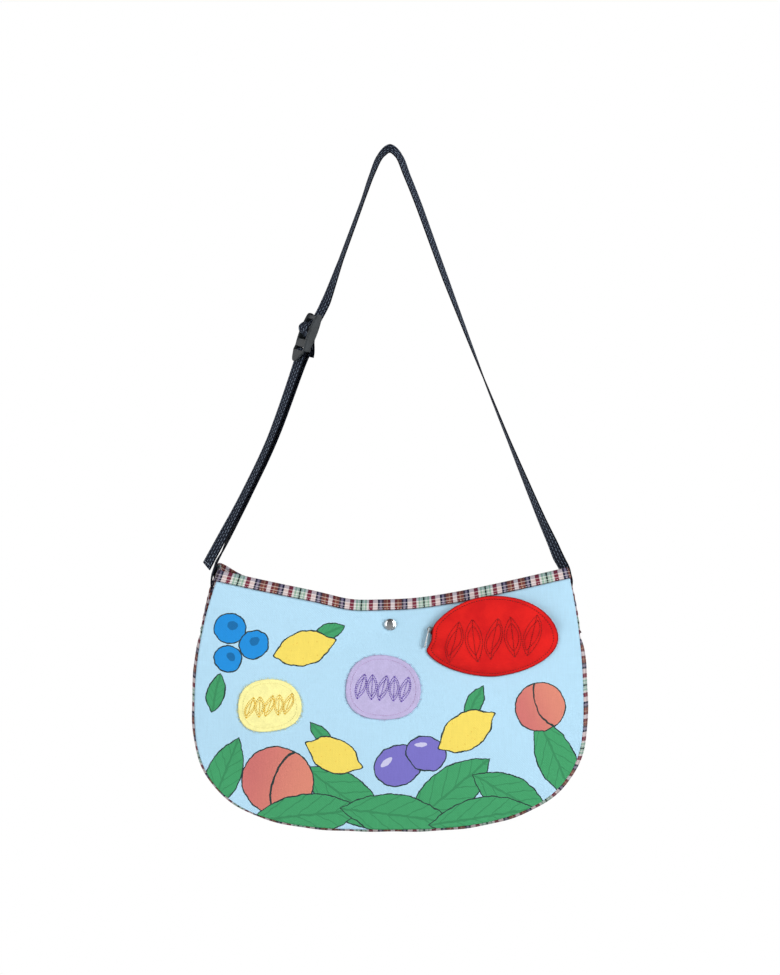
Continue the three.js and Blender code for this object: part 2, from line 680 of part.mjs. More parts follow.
function pouchZip() {
  const rings = range(ZIP.steps).map((t) => {
    const angle = rad(mix(ZIP.start, ZIP.end, t));
    const half = ZIP.thick / 2;
    const top = pouchRim(angle) - ZIP.top_gap;
    const corners = [[half, GAP], [half, top], [-half, top], [-half, GAP]];
    return corners.map(([out, high]) => zipPoint(angle, out, high));
  });
  return sweep(rings);
}

// Axes of the slider: x out of the zip, y along it towards the pouch's left tip, z off the front wall
function sliderFrame() {
  const angle = rad(SLIDER.turn);
  const middle = ZIP.wall / 2;
  const origin = zipPoint(angle, ZIP.thick / 2 + GAP, middle);
  const off = zipPoint(angle, 0, middle + 1).sub(zipPoint(angle, 0, middle)).normalize();
  const out = zipPoint(angle, 1, middle).sub(zipPoint(angle, 0, middle));
  out.addScaledVector(off, -out.dot(off)).normalize();
  return new THREE.Matrix4().makeBasis(out, off.clone().cross(out), off).setPosition(origin);
}

function zipSlider() {
  const { long, body, wide } = SLIDER;
  const block = new THREE.BoxGeometry(body, long, wide).translate(body / 2, 0, 0);
  const { foot, foot_half, hip, hip_half, top, top_half } = BRIDGE;
  const arch = mirroredShape([[foot, -foot_half], [hip, -hip_half], [top, -top_half]]);
  const { low, high, half_long, round } = WINDOW;
  arch.holes.push(roundedRectangle(low, -half_long, high, half_long, round));
  const bridge = new THREE.ExtrudeGeometry(arch, { depth: BRIDGE.wide, bevelEnabled: false });
  return joined([block, bridge.translate(0, 0, -BRIDGE.wide / 2)]);
}

// The pull hangs from its top bar, which passes under the slider's bridge
function zipPull() {
  const { long, wide, thick, bar, clip } = PULL;
  const [half, top] = [wide / 2, bar / 2];
  const plate = mirroredShape([[-top, -half], [long - clip, -half], [long, clip - half]]);
  const { wide: gap, long: reach, round } = PULL_WINDOW;
  plate.holes.push(roundedRectangle(top, -gap / 2, top + reach, gap / 2, round));
  const geometry = new THREE.ExtrudeGeometry(plate, { depth: thick, bevelEnabled: false });
  geometry.translate(0, 0, -thick / 2).rotateZ(-Math.PI / 2);
  const { wide: slot_wide, long: slot_long, from_tip } = PULL_SLOT;
  const slot = new THREE.BoxGeometry(slot_wide, slot_long, 3 * thick).translate(0, from_tip - long, 0);
  return cut(geometry, slot);
}

// Assembly

const COLOURS = {
  canvas_front: { color: '#a9d8f2', roughness: 0.9, metalness: 0 },
  canvas_back: { color: '#a4d3ee', roughness: 0.9, metalness: 0 },
  plaid: { color: '#cdb7b2', roughness: 0.9, metalness: 0 },
  plaid_gusset: { color: '#c4aca8', roughness: 0.9, metalness: 0 },
  webbing: { color: '#1d2333', roughness: 0.8, metalness: 0 },
  webbing_tail: { color: '#1f2536', roughness: 0.8, metalness: 0 },
  plastic: { color: '#3b3c3e', roughness: 0.5, metalness: 0 },
  steel: { color: '#b9bcbf', roughness: 0.3, metalness: 1 },
  steel_dull: { color: '#a4a7aa', roughness: 0.45, metalness: 1 },
  red_cloth: { color: '#d8201f', roughness: 0.85, metalness: 0 },
  zip_tape: { color: '#7f1716', roughness: 0.8, metalness: 0 },
  lilac_cloth: { color: '#bfaedb', roughness: 0.9, metalness: 0 },
  yellow_cloth: { color: '#f6eea0', roughness: 0.9, metalness: 0 },
};

const bag = new THREE.Group();

function add(name, geometry, finish, parent = bag) {
  const mesh = new THREE.Mesh(geometry, new THREE.MeshStandardMaterial(COLOURS[finish]));
  mesh.name = name;
  parent.add(mesh);
  return mesh;
}

function groupAt(matrix) {
  const group = new THREE.Group();
  matrix.decompose(group.position, group.quaternion, group.scale);
  bag.add(group);
  return group;
}

add('front_panel', panel(WALLS.front), 'canvas_front');
add('back_panel', panel(WALLS.back), 'canvas_back');
add('gusset', gusset(), 'plaid_gusset');
add('mouth_binding', mouthBinding(), 'plaid');
add('strap_long', strapLong(), 'webbing');
add('strap_short', strapShort(), 'webbing_tail');
for (const [name, sizes] of Object.entries(PATCHES)) {
  add(name, patch(sizes), name === 'patch_oval' ? 'yellow_cloth' : 'lilac_cloth');
}
add('pouch_front', pouchFront(), 'red_cloth');
add('pouch_zip', pouchZip(), 'zip_tape');

const buckleGroup = groupAt(
  new THREE.Matrix4().makeBasis(LEG.along, BUCKLE_OUT, BUCKLE_ACROSS).setPosition(BUCKLE.x, 0, BUCKLE.z),
);
add('buckle', buckle(), 'plastic', buckleGroup);

// The caps stand off the two outer faces, and the stud fills the space between the inner ones
function addCap(name, face, finish) {
  const cap = add(name, turned(capProfile()), finish);
  cap.position.copy(offWall(face, SNAP.x, SNAP.z, SNAP.lift));
  cap.quaternion.setFromUnitVectors(vec(0, 1, 0), wallNormal(face, SNAP.x, SNAP.z));
}

addCap('snap_cap', WALLS.front, 'steel');
addCap('snap_rear_cap', WALLS.back, 'steel_dull');
const studLow = -depth(SNAP.x, SNAP.z, WALLS.front) + CLOTH / 2 + SNAP.lift;
const studHigh = depth(SNAP.x, SNAP.z, WALLS.back) - CLOTH / 2 - SNAP.lift;
const studShape = new THREE.CylinderGeometry(SNAP.stud_radius, SNAP.stud_radius, studHigh - studLow, 16);
add('snap_stud', studShape, 'steel_dull').position.set(SNAP.x, (studLow + studHigh) / 2, SNAP.z);

const sliderGroup = groupAt(sliderFrame());
add('zip_slider', zipSlider(), 'steel_dull', sliderGroup);

// The pull turns about an axis parallel to the slider's z, and leans out from straight down
const pullGroup = new THREE.Group();
pullGroup.position.x = SLIDER.axis_out;
sliderGroup.add(pullGroup);
const downInSlider = vec(0, 0, -1).applyQuaternion(sliderGroup.quaternion.clone().invert());
pullGroup.rotation.z = Math.atan2(downInSlider.y, downInSlider.x) - rad(PULL.lean) + Math.PI / 2;
const pull = add('zip_pull', zipPull(), 'steel', pullGroup);
pull.rotation.y = Math.PI / 2;

export default bag;
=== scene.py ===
"""Looks of a soft canvas shoulder bag that hangs by its webbing strap.

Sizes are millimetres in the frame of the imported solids, and meshes are written in metres.
"""

import bpy
import numpy as np
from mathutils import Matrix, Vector


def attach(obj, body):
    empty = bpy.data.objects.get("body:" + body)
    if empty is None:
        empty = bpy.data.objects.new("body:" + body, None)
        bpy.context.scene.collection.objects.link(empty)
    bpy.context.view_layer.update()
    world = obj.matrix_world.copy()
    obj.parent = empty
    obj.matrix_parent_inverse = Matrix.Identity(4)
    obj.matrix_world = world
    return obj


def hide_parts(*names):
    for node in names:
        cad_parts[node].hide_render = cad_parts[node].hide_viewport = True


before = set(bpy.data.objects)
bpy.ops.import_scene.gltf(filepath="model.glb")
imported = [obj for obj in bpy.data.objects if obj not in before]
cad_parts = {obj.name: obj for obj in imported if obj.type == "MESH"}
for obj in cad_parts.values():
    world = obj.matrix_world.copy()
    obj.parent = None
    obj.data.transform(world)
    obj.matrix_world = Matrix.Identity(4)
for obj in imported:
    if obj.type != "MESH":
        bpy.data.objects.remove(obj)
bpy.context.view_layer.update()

# Stage: a white room, dimmer behind the camera and overhead, with a tall soft light on each side and a floor
# well below the bag that glows white as painted light, from half strength at the front to full towards the
# back.
# The camera stands 3 m in front, level with the middle of the bag and strap.
MILLIMETRE = 0.001
CAMERA_PLACE = (0.0, -3.025, -0.3408)
CAMERA_LENS = 110.8
CAMERA_SENSOR = 36
FLOOR_Z = -1.7
FLOOR_HALF = 30.0
FLOOR_GLOW = {"From Min": -0.5, "From Max": 3.5, "To Min": 0.5, "To Max": 1.0}
ROOM_WALLS = [
    {"at": 0, "glow": 0.3}, {"at": 0.1, "glow": 0.3}, {"at": 0.3, "glow": 0.75}, {"at": 0.65, "glow": 0.85},
    {"at": 0.8, "glow": 1.0},
]
ROOM_CEILING = {"From Min": 0.2, "From Max": 0.7, "To Min": 1.0, "To Max": 0.2}
LAMPS = [
    {"name": "left_softbox", "at": (-2.8, -2.0, 0.2), "size": (1.2, 3.6), "watts": 66},
    {"name": "right_softbox", "at": (2.2, -2.6, 0.2), "size": (1.4, 3.6), "watts": 132},
]
LAMP_TARGET = Vector((0.0, 0.0, -0.5))

camera = bpy.data.objects.new("camera", bpy.data.cameras.new("camera"))
camera.location = CAMERA_PLACE
camera.rotation_euler = (np.pi / 2, 0, 0)
camera.data.lens = CAMERA_LENS
camera.data.sensor_width = CAMERA_SENSOR
bpy.context.scene.collection.objects.link(camera)
bpy.context.scene.camera = camera

for lamp in LAMPS:
    light = bpy.data.lights.new(lamp["name"], "AREA")
    light.shape = "RECTANGLE"
    light.size, light.size_y = lamp["size"]
    light.energy = lamp["watts"]
    holder = bpy.data.objects.new(lamp["name"], light)
    holder.location = lamp["at"]
    holder.rotation_euler = (LAMP_TARGET - Vector(lamp["at"])).to_track_quat("-Z", "Y").to_euler()
    bpy.context.scene.collection.objects.link(holder)

room = bpy.data.worlds.new("room")
room.use_nodes = True
room_nodes, room_links = room.node_tree.nodes, room.node_tree.links
direction = room_nodes.new("ShaderNodeSeparateXYZ")
room_links.new(room_nodes.new("ShaderNodeTexCoord").outputs["Generated"], direction.inputs[0])
around = room_nodes.new("ShaderNodeMapRange")
around.inputs["From Min"].default_value = -1.0
room_links.new(direction.outputs["Y"], around.inputs["Value"])
walls = room_nodes.new("ShaderNodeValToRGB")
room_links.new(around.outputs[0], walls.inputs[0])
for wall in ROOM_WALLS:
    mark = walls.color_ramp.elements[0] if wall["at"] == 0 else walls.color_ramp.elements.new(wall["at"])
    mark.color = (wall["glow"], wall["glow"], wall["glow"], 1)
ceiling = room_nodes.new("ShaderNodeMapRange")
for socket, limit in ROOM_CEILING.items():
    ceiling.inputs[socket].default_value = limit
room_links.new(direction.outputs["Z"], ceiling.inputs["Value"])
strength = room_nodes.new("ShaderNodeMath")
strength.operation = "MULTIPLY"
room_links.new(walls.outputs[0], strength.inputs[0])
room_links.new(ceiling.outputs[0], strength.inputs[1])
room_links.new(strength.outputs[0], room_nodes["Background"].inputs["Strength"])
room_nodes["Background"].inputs["Color"].default_value = (1, 1, 1, 1)
bpy.context.scene.world = room
bpy.context.scene.view_settings.view_transform = "Standard"

floor_mesh = bpy.data.meshes.new("floor")
floor_turns = ((-1, -1), (1, -1), (1, 1), (-1, 1))
floor_corners = [(right * FLOOR_HALF, back * FLOOR_HALF, FLOOR_Z) for right, back in floor_turns]
floor_mesh.from_pydata(floor_corners, [], [(0, 1, 2, 3)])
floor = bpy.data.objects.new("floor", floor_mesh)
bpy.context.scene.collection.objects.link(floor)
floor_paint = bpy.data.materials.new("floor_paint")
floor_paint.use_nodes = True
floor_shader = floor_paint.node_tree.nodes["Principled BSDF"]
# Painted light: the floor has no colour of its own and glows white instead.
floor_look = {"Base Color": (0, 0, 0, 1), "Specular IOR Level": 0.0, "Emission Color": (1, 1, 1, 1)}
for socket, value in floor_look.items():
    floor_shader.inputs[socket].default_value = value
floor_place = floor_paint.node_tree.nodes.new("ShaderNodeSeparateXYZ")
floor_glow = floor_paint.node_tree.nodes.new("ShaderNodeMapRange")
for socket, limit in FLOOR_GLOW.items():
    floor_glow.inputs[socket].default_value = limit
floor_links = floor_paint.node_tree.links
floor_coordinates = floor_paint.node_tree.nodes.new("ShaderNodeTexCoord")
floor_links.new(floor_coordinates.outputs["Object"], floor_place.inputs[0])
floor_links.new(floor_place.outputs["Y"], floor_glow.inputs["Value"])
floor_links.new(floor_glow.outputs[0], floor_shader.inputs["Emission Strength"])
floor_mesh.materials.append(floor_paint)

# Front wall: one piece of printed cotton canvas, sewn to the gusset round its sides and base and closed at
# the top by the mouth binding. It puffs out in the middle, is pinched flat at the press stud and carries a
# few soft creases. The walls share these sizes with the solids.
CLOTH = 1.5
WIDEST_Z = -559
BODY_DROP = 123.5
CORNER_POWER = 2.85
BOTTOM_SKEW = -6
MOUTH = {"z": -454.8, "slope": 0.252, "soft": 62, "tilt": 0.004, "lift_reach": 17}
MOUTH_SAG = {"x": -40, "drop": 2.6, "reach": 24}
DEPTH = {"top": 20, "bottom": 26.5, "pinch": 3.6, "pinch_reach": 0.62}
STUD_DENT = [{"x0": 1, "z0": -479, "x1": 1, "z1": -479, "width": 22, "rise": -2.6}]
CREASES = [
    {"x0": -8, "z0": -482, "x1": -80, "z1": -513, "width": 13, "rise": -2.4},
    {"x0": -90, "z0": -481, "x1": -16, "z1": -490, "width": 11, "rise": 1.5},
    {"x0": -166, "z0": -622, "x1": -148, "z1": -640, "width": 24, "rise": -3.5},
    {"x0": 120, "z0": -560, "x1": 165, "z1": -600, "width": 26, "rise": -2.0},
]
FRONT = {
    "facing": -1, "left": 195.5, "right": 193.4, "lean_left": 25, "lean_right": 15.5, "lift_left": 0,
    "lower": 0, "puff": 10, "folds": STUD_DENT + CREASES,
}
BACK = {
    "facing": 1, "left": 196.0, "right": 194.0, "lean_left": 22, "lean_right": 28, "lift_left": 8,
    "lower": 2, "puff": 8, "folds": STUD_DENT,
}
RIPPLE = {"slow": 0.45, "pucker": 0.32, "pucker_reach": 9, "pucker_soft": 1.5, "pucker_pitch": 10.5}
SLOW_WAVES = [
    {"high": 1.0, "first": (0.043, 0.021, 1.1), "second": (-0.016, 0.037, 0.6)},
    {"high": 0.5, "first": (0.081, -0.034, 0.0), "second": (0.027, 0.059, 0.0)},
]
RIPPLE_PLACE = {"mouth_from": 8, "mouth_to": 40, "edge_scale": 120, "seam_radius": 150, "seam_middle": 20}


def smooth_step(low, high, value):
    """Rises from 0 at low to 1 at high with level ends."""
    t = np.clip((value - low) / (high - low), 0, 1)
    return t * t * (3 - 2 * t)


def mix(low, high, share):
    """Straight mixture of two values."""
    return low + (high - low) * share


def bell(value, middle, half):
    """Bell curve: 1 at its middle, falling with the square of the distance in half widths."""
    return np.exp(-(((value - middle) / half) ** 2))


def slant_wave(x, z, numbers):
    """Sine of x and z, each times its own number, plus a shift."""
    return np.sin(numbers[0] * x + numbers[1] * z + numbers[2])


def unit(vectors):
    """The same directions with length 1."""
    return vectors / np.linalg.norm(vectors, axis=-1, keepdims=True)


def mouth_line(x, wall):
    """Height of a wall's top edge: a hyperbola-shaped V, tilted, with a lift at the left corner and a sag."""
    rise = MOUTH["slope"] * (np.hypot(x, MOUTH["soft"]) - MOUTH["soft"]) + MOUTH["tilt"] * x
    corner = (x + wall["left"] - wall["lean_left"]) / MOUTH["lift_reach"]
    sag = (x - MOUTH_SAG["x"]) / MOUTH_SAG["reach"]
    local = wall["lift_left"] * np.exp(-corner * corner) - MOUTH_SAG["drop"] * np.exp(-sag * sag)
    return MOUTH["z"] + rise + local - wall["lower"]


def side_of(x, wall):
    """Half width at the widest line, and how far the side leans in at the mouth, for the side x is on."""
    half = np.where(x < 0, wall["left"], wall["right"])
    lean = np.where(x < 0, wall["lean_left"], wall["lean_right"])
    return half, lean


def half_width(x, z, wall):
    """Half width at a height: a superellipse below the widest line, a parabola leaning in above it."""
    base, lean = side_of(x, wall)
    t = np.clip((WIDEST_Z - z) / BODY_DROP, 0, 1)
    below = base * (1 - t**CORNER_POWER) ** (1 / CORNER_POWER)
    top = mouth_line(np.where(x < 0, -1, 1) * (base - lean), wall)
    above = base - lean * (np.maximum(z - WIDEST_Z, 0) / (top - WIDEST_Z)) ** 2
    return np.where(z <= WIDEST_Z, below, above)


def crease_rise(x, z, folds):
    """Sum of bell-shaped ridges and grooves along straight lines."""
    rise = np.zeros(np.broadcast(x, z).shape)
    for fold in folds:
        along = np.array([fold["x1"] - fold["x0"], fold["z1"] - fold["z0"]], float)
        length = max(along @ along, 1e-9)
        t = np.clip(((x - fold["x0"]) * along[0] + (z - fold["z0"]) * along[1]) / length, 0, 1)
        away = np.hypot(x - fold["x0"] - t * along[0], z - fold["z0"] - t * along[1]) / fold["width"]
        rise = rise + fold["rise"] * np.exp(-away * away)
    return rise


def cloth_ripple(x, z, wall):
    """Slack of thin cloth: slow crossing waves in the middle and short puckers close to the sewn edge."""
    base, _ = side_of(x, wall)
    t = np.clip((WIDEST_Z - z) / BODY_DROP, 0, 1)
    round_part = ((np.abs(x) / base) ** CORNER_POWER + t**CORNER_POWER) ** (1 / CORNER_POWER)
    reach = np.where(z < WIDEST_Z, round_part, np.abs(x) / np.maximum(half_width(x, z, wall), 1))
    inside = 1 - np.clip(reach, 0, 1) ** 6
    below_mouth = smooth_step(RIPPLE_PLACE["mouth_from"], RIPPLE_PLACE["mouth_to"], mouth_line(x, wall) - z)
    slow = 0
    for row in SLOW_WAVES:
        slow = slow + row["high"] * slant_wave(x, z, row["first"]) * slant_wave(x, z, row["second"])
    seam_run = RIPPLE_PLACE["seam_radius"] * np.arctan2(x, WIDEST_Z + RIPPLE_PLACE["seam_middle"] - z)
    edge = (1 - np.clip(reach, 0, 1)) * RIPPLE_PLACE["edge_scale"]
    pucker = np.exp(-edge / RIPPLE["pucker_reach"]) * (1 - np.exp(-edge / RIPPLE["pucker_soft"]))
    wave = np.sin(2 * np.pi * seam_run / RIPPLE["pucker_pitch"] + 1.3 * np.sin(0.05 * seam_run))
    return (RIPPLE["slow"] * slow * inside + RIPPLE["pucker"] * pucker * wave) * below_mouth


def wall_depth(x, z, wall):
    """Distance of a wall from the bag's middle plane: the seam's depth, less the pinch at the mouth, plus the
    puff and the folds."""
    top = mouth_line(x, wall)
    q = np.clip((top - z) / (top - WIDEST_Z + BODY_DROP), 0, 1)
    t = np.maximum((WIDEST_Z - z) / BODY_DROP, 0)
    centred = x - BOTTOM_SKEW * t**4
    r = np.minimum(np.abs(centred) / np.maximum(half_width(centred, z, wall), 1), 1)
    seam = mix(DEPTH["top"], DEPTH["bottom"], q)
    corner = wall["left"] - wall["lean_left"]
    mouth = mix(DEPTH["pinch"], DEPTH["top"], np.minimum(np.abs(x) / corner, 1) ** 1.5)
    pinch = (seam - mouth) * (1 - smooth_step(0, DEPTH["pinch_reach"], q)) * (1 - r**8)
    puff = wall["puff"] * (1 - r * r) * np.sin(np.pi * q)
    folds = crease_rise(x, z, wall["folds"]) * (1 - r**8) + cloth_ripple(x, z, wall)
    return seam + puff - pinch + folds


def wall_point(wall, u, v):
    """Middle surface of a wall: u runs from seam to seam, and v from the mouth (-1) past the widest line (0)
    to the base (1)."""
    u, v = np.broadcast_arrays(np.asarray(u, float), np.asarray(v, float))
    base, lean = side_of(u, wall)
    low = np.clip(v, 0, 1)
    t = low * (1 - np.abs(u) ** CORNER_POWER / 2) ** (1 / CORNER_POWER)
    x_low = base * u * (1 - low**CORNER_POWER / 2) ** (1 / CORNER_POWER) + BOTTOM_SKEW * t**4
    x = np.where(v > 0, x_low, u * (base - lean * v * v))
    z_high = mix(WIDEST_Z, mouth_line(u * (base - lean), wall), -v)
    z = np.where(v > 0, WIDEST_Z - BODY_DROP * t, z_high)
    return np.stack([x, wall["facing"] * wall_depth(x, z, wall), z], -1)


def new_piece(name, points, faces):
    """Object from points in millimetres and from faces that name their corners by number."""
    mesh = bpy.data.meshes.new(name)
    mesh.from_pydata((points.reshape(-1, 3) * MILLIMETRE).tolist(), [], faces)
    piece = bpy.data.objects.new(name, mesh)
    bpy.context.scene.collection.objects.link(piece)
    return piece


def skin(name, points, uv=None, round_section=False, caps="", outward=None):
    """Object from a grid of points (rows, columns, 3): a quad for each cell, turned to face outward.
    A round section closes its columns on themselves, and caps close its first ring, or its first and last."""
    rows, columns = points.shape[:2]
    last = columns if round_section else columns - 1
    i, j = (a.ravel() for a in np.meshgrid(np.arange(rows - 1), np.arange(last), indexing="ij"))
    cell = [(i, j), (i + 1, j), (i + 1, j + 1), (i, j + 1)]
    quads = np.stack([a * columns + b % columns for a, b in cell], 1)
    flat = points.reshape(-1, 3)
    a, b, c, d = (flat[quads[:, k]] for k in range(4))
    cross = np.cross(c - a, d - b)
    if outward is None:
        turned = np.sum(cross * ((a + b + c + d) / 4 - flat.mean(0))) < 0
    else:
        turned = np.sum(cross @ np.asarray(outward, float)) < 0
    faces = (quads[:, ::-1] if turned else quads).tolist()
    first, end = list(range(columns)), list(range((rows - 1) * columns, rows * columns))
    ends = {"": [], "first": [first], "both": [first, end[::-1]]}[caps]
    faces += [ring[::-1] for ring in ends] if turned else ends
    piece = new_piece(name, flat, faces)
    if uv is not None:
        width = uv.shape[1]
        corners = np.stack([a * width + b for a, b in cell], 1)
        corners = (corners[:, ::-1] if turned else corners).ravel()
        values = np.zeros((len(piece.data.loops), 2))
        values[: len(corners)] = uv.reshape(-1, 2)[corners]
        piece.data.uv_layers.new(name="cloth").data.foreach_set("uv", values.ravel())
    piece.data.shade_smooth()
    return piece


def thicken(piece, thickness, inner_slot=0):
    """Gives a sheet its thickness, half to each side of its middle surface."""
    solid = piece.modifiers.new("thickness", "SOLIDIFY")
    solid.thickness = thickness * MILLIMETRE
    solid.offset = 0
    solid.use_even_offset = True
    solid.material_offset = inner_slot


ROOM_SHARE = 0.82


def dye(code):
    """Linear colour of six hexadecimal digits, which note the colour as it looks in this bright room."""
    channels = [int(code[k : k + 2], 16) / 255 for k in (1, 3, 5)]
    linear = [c / 12.92 if c <= 0.04045 else ((c + 0.055) / 1.055) ** 2.4 for c in channels]
    return (*(ROOM_SHARE * c for c in linear), 1.0)


def deeper(colour, share):
    """The same colour with its light cut to a share."""
    return (*(share * c for c in colour[:3]), 1.0)


class Finish:
    """A procedural finish on the principled shader: each call adds one node and gives back its output."""

    def __init__(self, name, roughness, metallic=0.0, sheen=0.0, gloss=0.12):
        self.material = bpy.data.materials.new(name)
        self.material.use_nodes = True
        self.nodes = self.material.node_tree.nodes
        self.links = self.material.node_tree.links
        self.shader = self.nodes["Principled BSDF"]
        self.shader.inputs["Roughness"].default_value = roughness
        self.shader.inputs["Metallic"].default_value = metallic
        self.shader.inputs["Sheen Weight"].default_value = sheen
        self.shader.inputs["Specular IOR Level"].default_value = gloss

    def feed(self, socket, value):
        """Links an output to a socket, or sets the socket to a plain value."""
        if isinstance(value, bpy.types.NodeSocket):
            self.links.new(value, socket)
        elif value is not None:
            socket.default_value = value

    def math(self, operation, a, b=None, c=None):
        """One step of arithmetic."""
        node = self.nodes.new("ShaderNodeMath")
        node.operation = operation
        for socket, value in zip(node.inputs, (a, b, c)):
            self.feed(socket, value)
        return node.outputs[0]

    def vector(self, operation, a, b=None, output=0):
        """One step of arithmetic on places."""
        node = self.nodes.new("ShaderNodeVectorMath")
        node.operation = operation
        self.feed(node.inputs[0], a)
        self.feed(node.inputs["Scale" if operation == "SCALE" else 1], b)
        return node.outputs[output]

    def place(self):
        """Place on the piece in millimetres."""
        return self.vector("SCALE", self.nodes.new("ShaderNodeTexCoord").outputs["Object"], 1 / MILLIMETRE)

    def run(self):
        """Place along and across the cloth in millimetres, from the piece's own map."""
        node = self.nodes.new("ShaderNodeUVMap")
        node.uv_map = "cloth"
        return node.outputs[0]

    def split(self, vector):
        """The three parts of a place."""
        node = self.nodes.new("ShaderNodeSeparateXYZ")
        self.feed(node.inputs[0], vector)
        return node.outputs

    def join(self, x, y, z=0.0):
        """A place from its three parts."""
        node = self.nodes.new("ShaderNodeCombineXYZ")
        for socket, value in zip(node.inputs, (x, y, z)):
            self.feed(socket, value)
        return node.outputs[0]

    def local(self, vector, centre, half, turn=0.0):
        """The same place in a motif's own axes, where its half sizes are 1."""
        node = self.nodes.new("ShaderNodeMapping")
        node.vector_type = "TEXTURE"
        self.feed(node.inputs["Vector"], vector)
        node.inputs["Location"].default_value = (*centre, 0)
        node.inputs["Rotation"].default_value = (0, 0, np.radians(turn))
        node.inputs["Scale"].default_value = (*half, 1)
        return node.outputs[0]

    def noise(self, vector, scale, detail=2.0, output="Fac"):
        """Soft random clouds, about as many to a millimetre as the scale says."""
        node = self.nodes.new("ShaderNodeTexNoise")
        self.feed(node.inputs["Vector"], vector)
        node.inputs["Scale"].default_value = scale
        node.inputs["Detail"].default_value = detail
        return node.outputs[output]

    def ease(self, value, low, high, start=0.0, end=1.0):
        """Start at low, end at high, smooth between."""
        node = self.nodes.new("ShaderNodeMapRange")
        node.interpolation_type = "SMOOTHSTEP"
        self.feed(node.inputs["Value"], value)
        limits = {"From Min": low, "From Max": high, "To Min": start, "To Max": end}
        for socket, limit in limits.items():
            node.inputs[socket].default_value = limit
        return node.outputs[0]

    def blend(self, share, a, b, kind="MIX"):
        """Mixture of two colours by a share."""
        node = self.nodes.new("ShaderNodeMix")
        node.data_type = "RGBA"
        node.blend_type = kind
        self.feed(node.inputs[0], share)
        self.feed(node.inputs[6], a)
        self.feed(node.inputs[7], b)
        return node.outputs[2]

    def bands(self, value, stops):
        """Colour of the band that a value from 0 to 1 falls in."""
        node = self.nodes.new("ShaderNodeValToRGB")
        node.color_ramp.interpolation = "CONSTANT"
        marks = node.color_ramp.elements
        for position, colour in stops:
            mark = marks[0] if position == 0 else marks.new(position)
            mark.color = dye(colour)
        marks.remove(marks[len(marks) - 1])
        self.feed(node.inputs[0], value)
        return node.outputs[0]

    def weave(self, place, pitch, axes=(0, 2)):
        """Height of a plain weave, where threads each way rise in turn: the product of two waves."""
        parts = self.split(place)
        waves = [self.math("SINE", self.math("MULTIPLY", parts[k], np.pi / pitch)) for k in axes]
        return self.math("MULTIPLY", *waves)

    def colour(self, value):
        """Sets the surface's own colour."""
        self.feed(self.shader.inputs["Base Color"], value)

    def relief(self, height, strength, distance):
        """Raises the surface by a height, as far as the distance in millimetres."""
        node = self.nodes.new("ShaderNodeBump")
        node.inputs["Strength"].default_value = strength
        node.inputs["Distance"].default_value = distance * MILLIMETRE
        self.feed(node.inputs["Height"], height)
        self.feed(self.shader.inputs["Normal"], node.outputs[0])


WEAVE_PITCH = 0.85
SKY = "#b7def4"
SKY_REVERSE = "#c6dfec"
INK = "#2c3a38"
LEAF = "#43a067"
LEMON = "#f6dd62"
PEACH = "#d1746f"
PLUM = "#7b72c6"
BERRY = "#1f8fde"
PRINT = [
    {"kind": "leaf", "x": -166, "z": -628, "half": (40, 17), "turn": 68, "dye": LEAF},
    {"kind": "leaf", "x": 166, "z": -612, "half": (46, 19), "turn": -66, "dye": LEAF},
    {"kind": "leaf", "x": -44, "z": -650, "half": (52, 22), "turn": -36, "dye": LEAF},
    {"kind": "leaf", "x": 58, "z": -646, "half": (54, 23), "turn": 40, "dye": LEAF},
    {"kind": "leaf", "x": 122, "z": -650, "half": (46, 20), "turn": -30, "dye": LEAF},
    {"kind": "peach", "x": -112, "z": -634, "half": (36, 34), "turn": -18, "dye": PEACH},
    {"kind": "peach", "x": 150, "z": -560, "half": (25, 24), "turn": 24, "dye": PEACH},
    {"kind": "leaf", "x": -84, "z": -668, "half": (58, 21), "turn": 6, "dye": LEAF},
    {"kind": "leaf", "x": 6, "z": -668, "half": (56, 21), "turn": -7, "dye": LEAF},
    {"kind": "leaf", "x": 92, "z": -670, "half": (54, 20), "turn": 9, "dye": LEAF},
    {"kind": "plum", "x": 8, "z": -618, "half": (24, 20), "turn": 24, "dye": PLUM},
    {"kind": "plum", "x": 36, "z": -606, "half": (20, 17), "turn": -20, "dye": PLUM},
    {"kind": "leaf", "x": 84, "z": -556, "half": (19, 8), "turn": 62, "dye": LEAF},
    {"kind": "lemon", "x": 76, "z": -584, "half": (27, 18), "turn": 32, "dye": LEMON},
    {"kind": "leaf", "x": -68, "z": -588, "half": (17, 7), "turn": -48, "dye": LEAF},
    {"kind": "lemon", "x": -56, "z": -608, "half": (25, 17), "turn": -24, "dye": LEMON},
    {"kind": "leaf", "x": -62, "z": -486, "half": (18, 8), "turn": 20, "dye": LEAF},
    {"kind": "lemon", "x": -86, "z": -502, "half": (26, 17), "turn": 14, "dye": LEMON},
    {"kind": "berry", "x": -160, "z": -482, "half": (16, 15), "turn": 0, "dye": BERRY},
    {"kind": "berry", "x": -136, "z": -498, "half": (15, 14), "turn": 30, "dye": BERRY},
    {"kind": "berry", "x": -162, "z": -512, "half": (14, 13), "turn": -20, "dye": BERRY},
    {"kind": "leaf", "x": -174, "z": -546, "half": (20, 9), "turn": 78, "dye": LEAF},
]
INK_HALF = 0.6


def motif_edge(finish, kind, local):
    """A value that is 1 on a motif's edge: |v| + u squared for a leaf, the distance from the middle for a
    round fruit, and that distance less a bell at each tip for a lemon."""
    u, v, _ = finish.split(local)
    if kind == "leaf":
        return finish.math("MULTIPLY_ADD", u, u, finish.math("ABSOLUTE", v))
    away = finish.vector("LENGTH", local, output=1)
    if kind != "lemon":
        return away
    narrow = finish.math("MULTIPLY", v, 4.2)
    bell = finish.math("EXPONENT", finish.math("MULTIPLY", finish.math("MULTIPLY", narrow, narrow), -1.0))
    tip = finish.ease(finish.math("ABSOLUTE", u), 0.6, 1.0, end=0.22)
    return finish.math("SUBTRACT", away, finish.math("MULTIPLY", bell, tip))


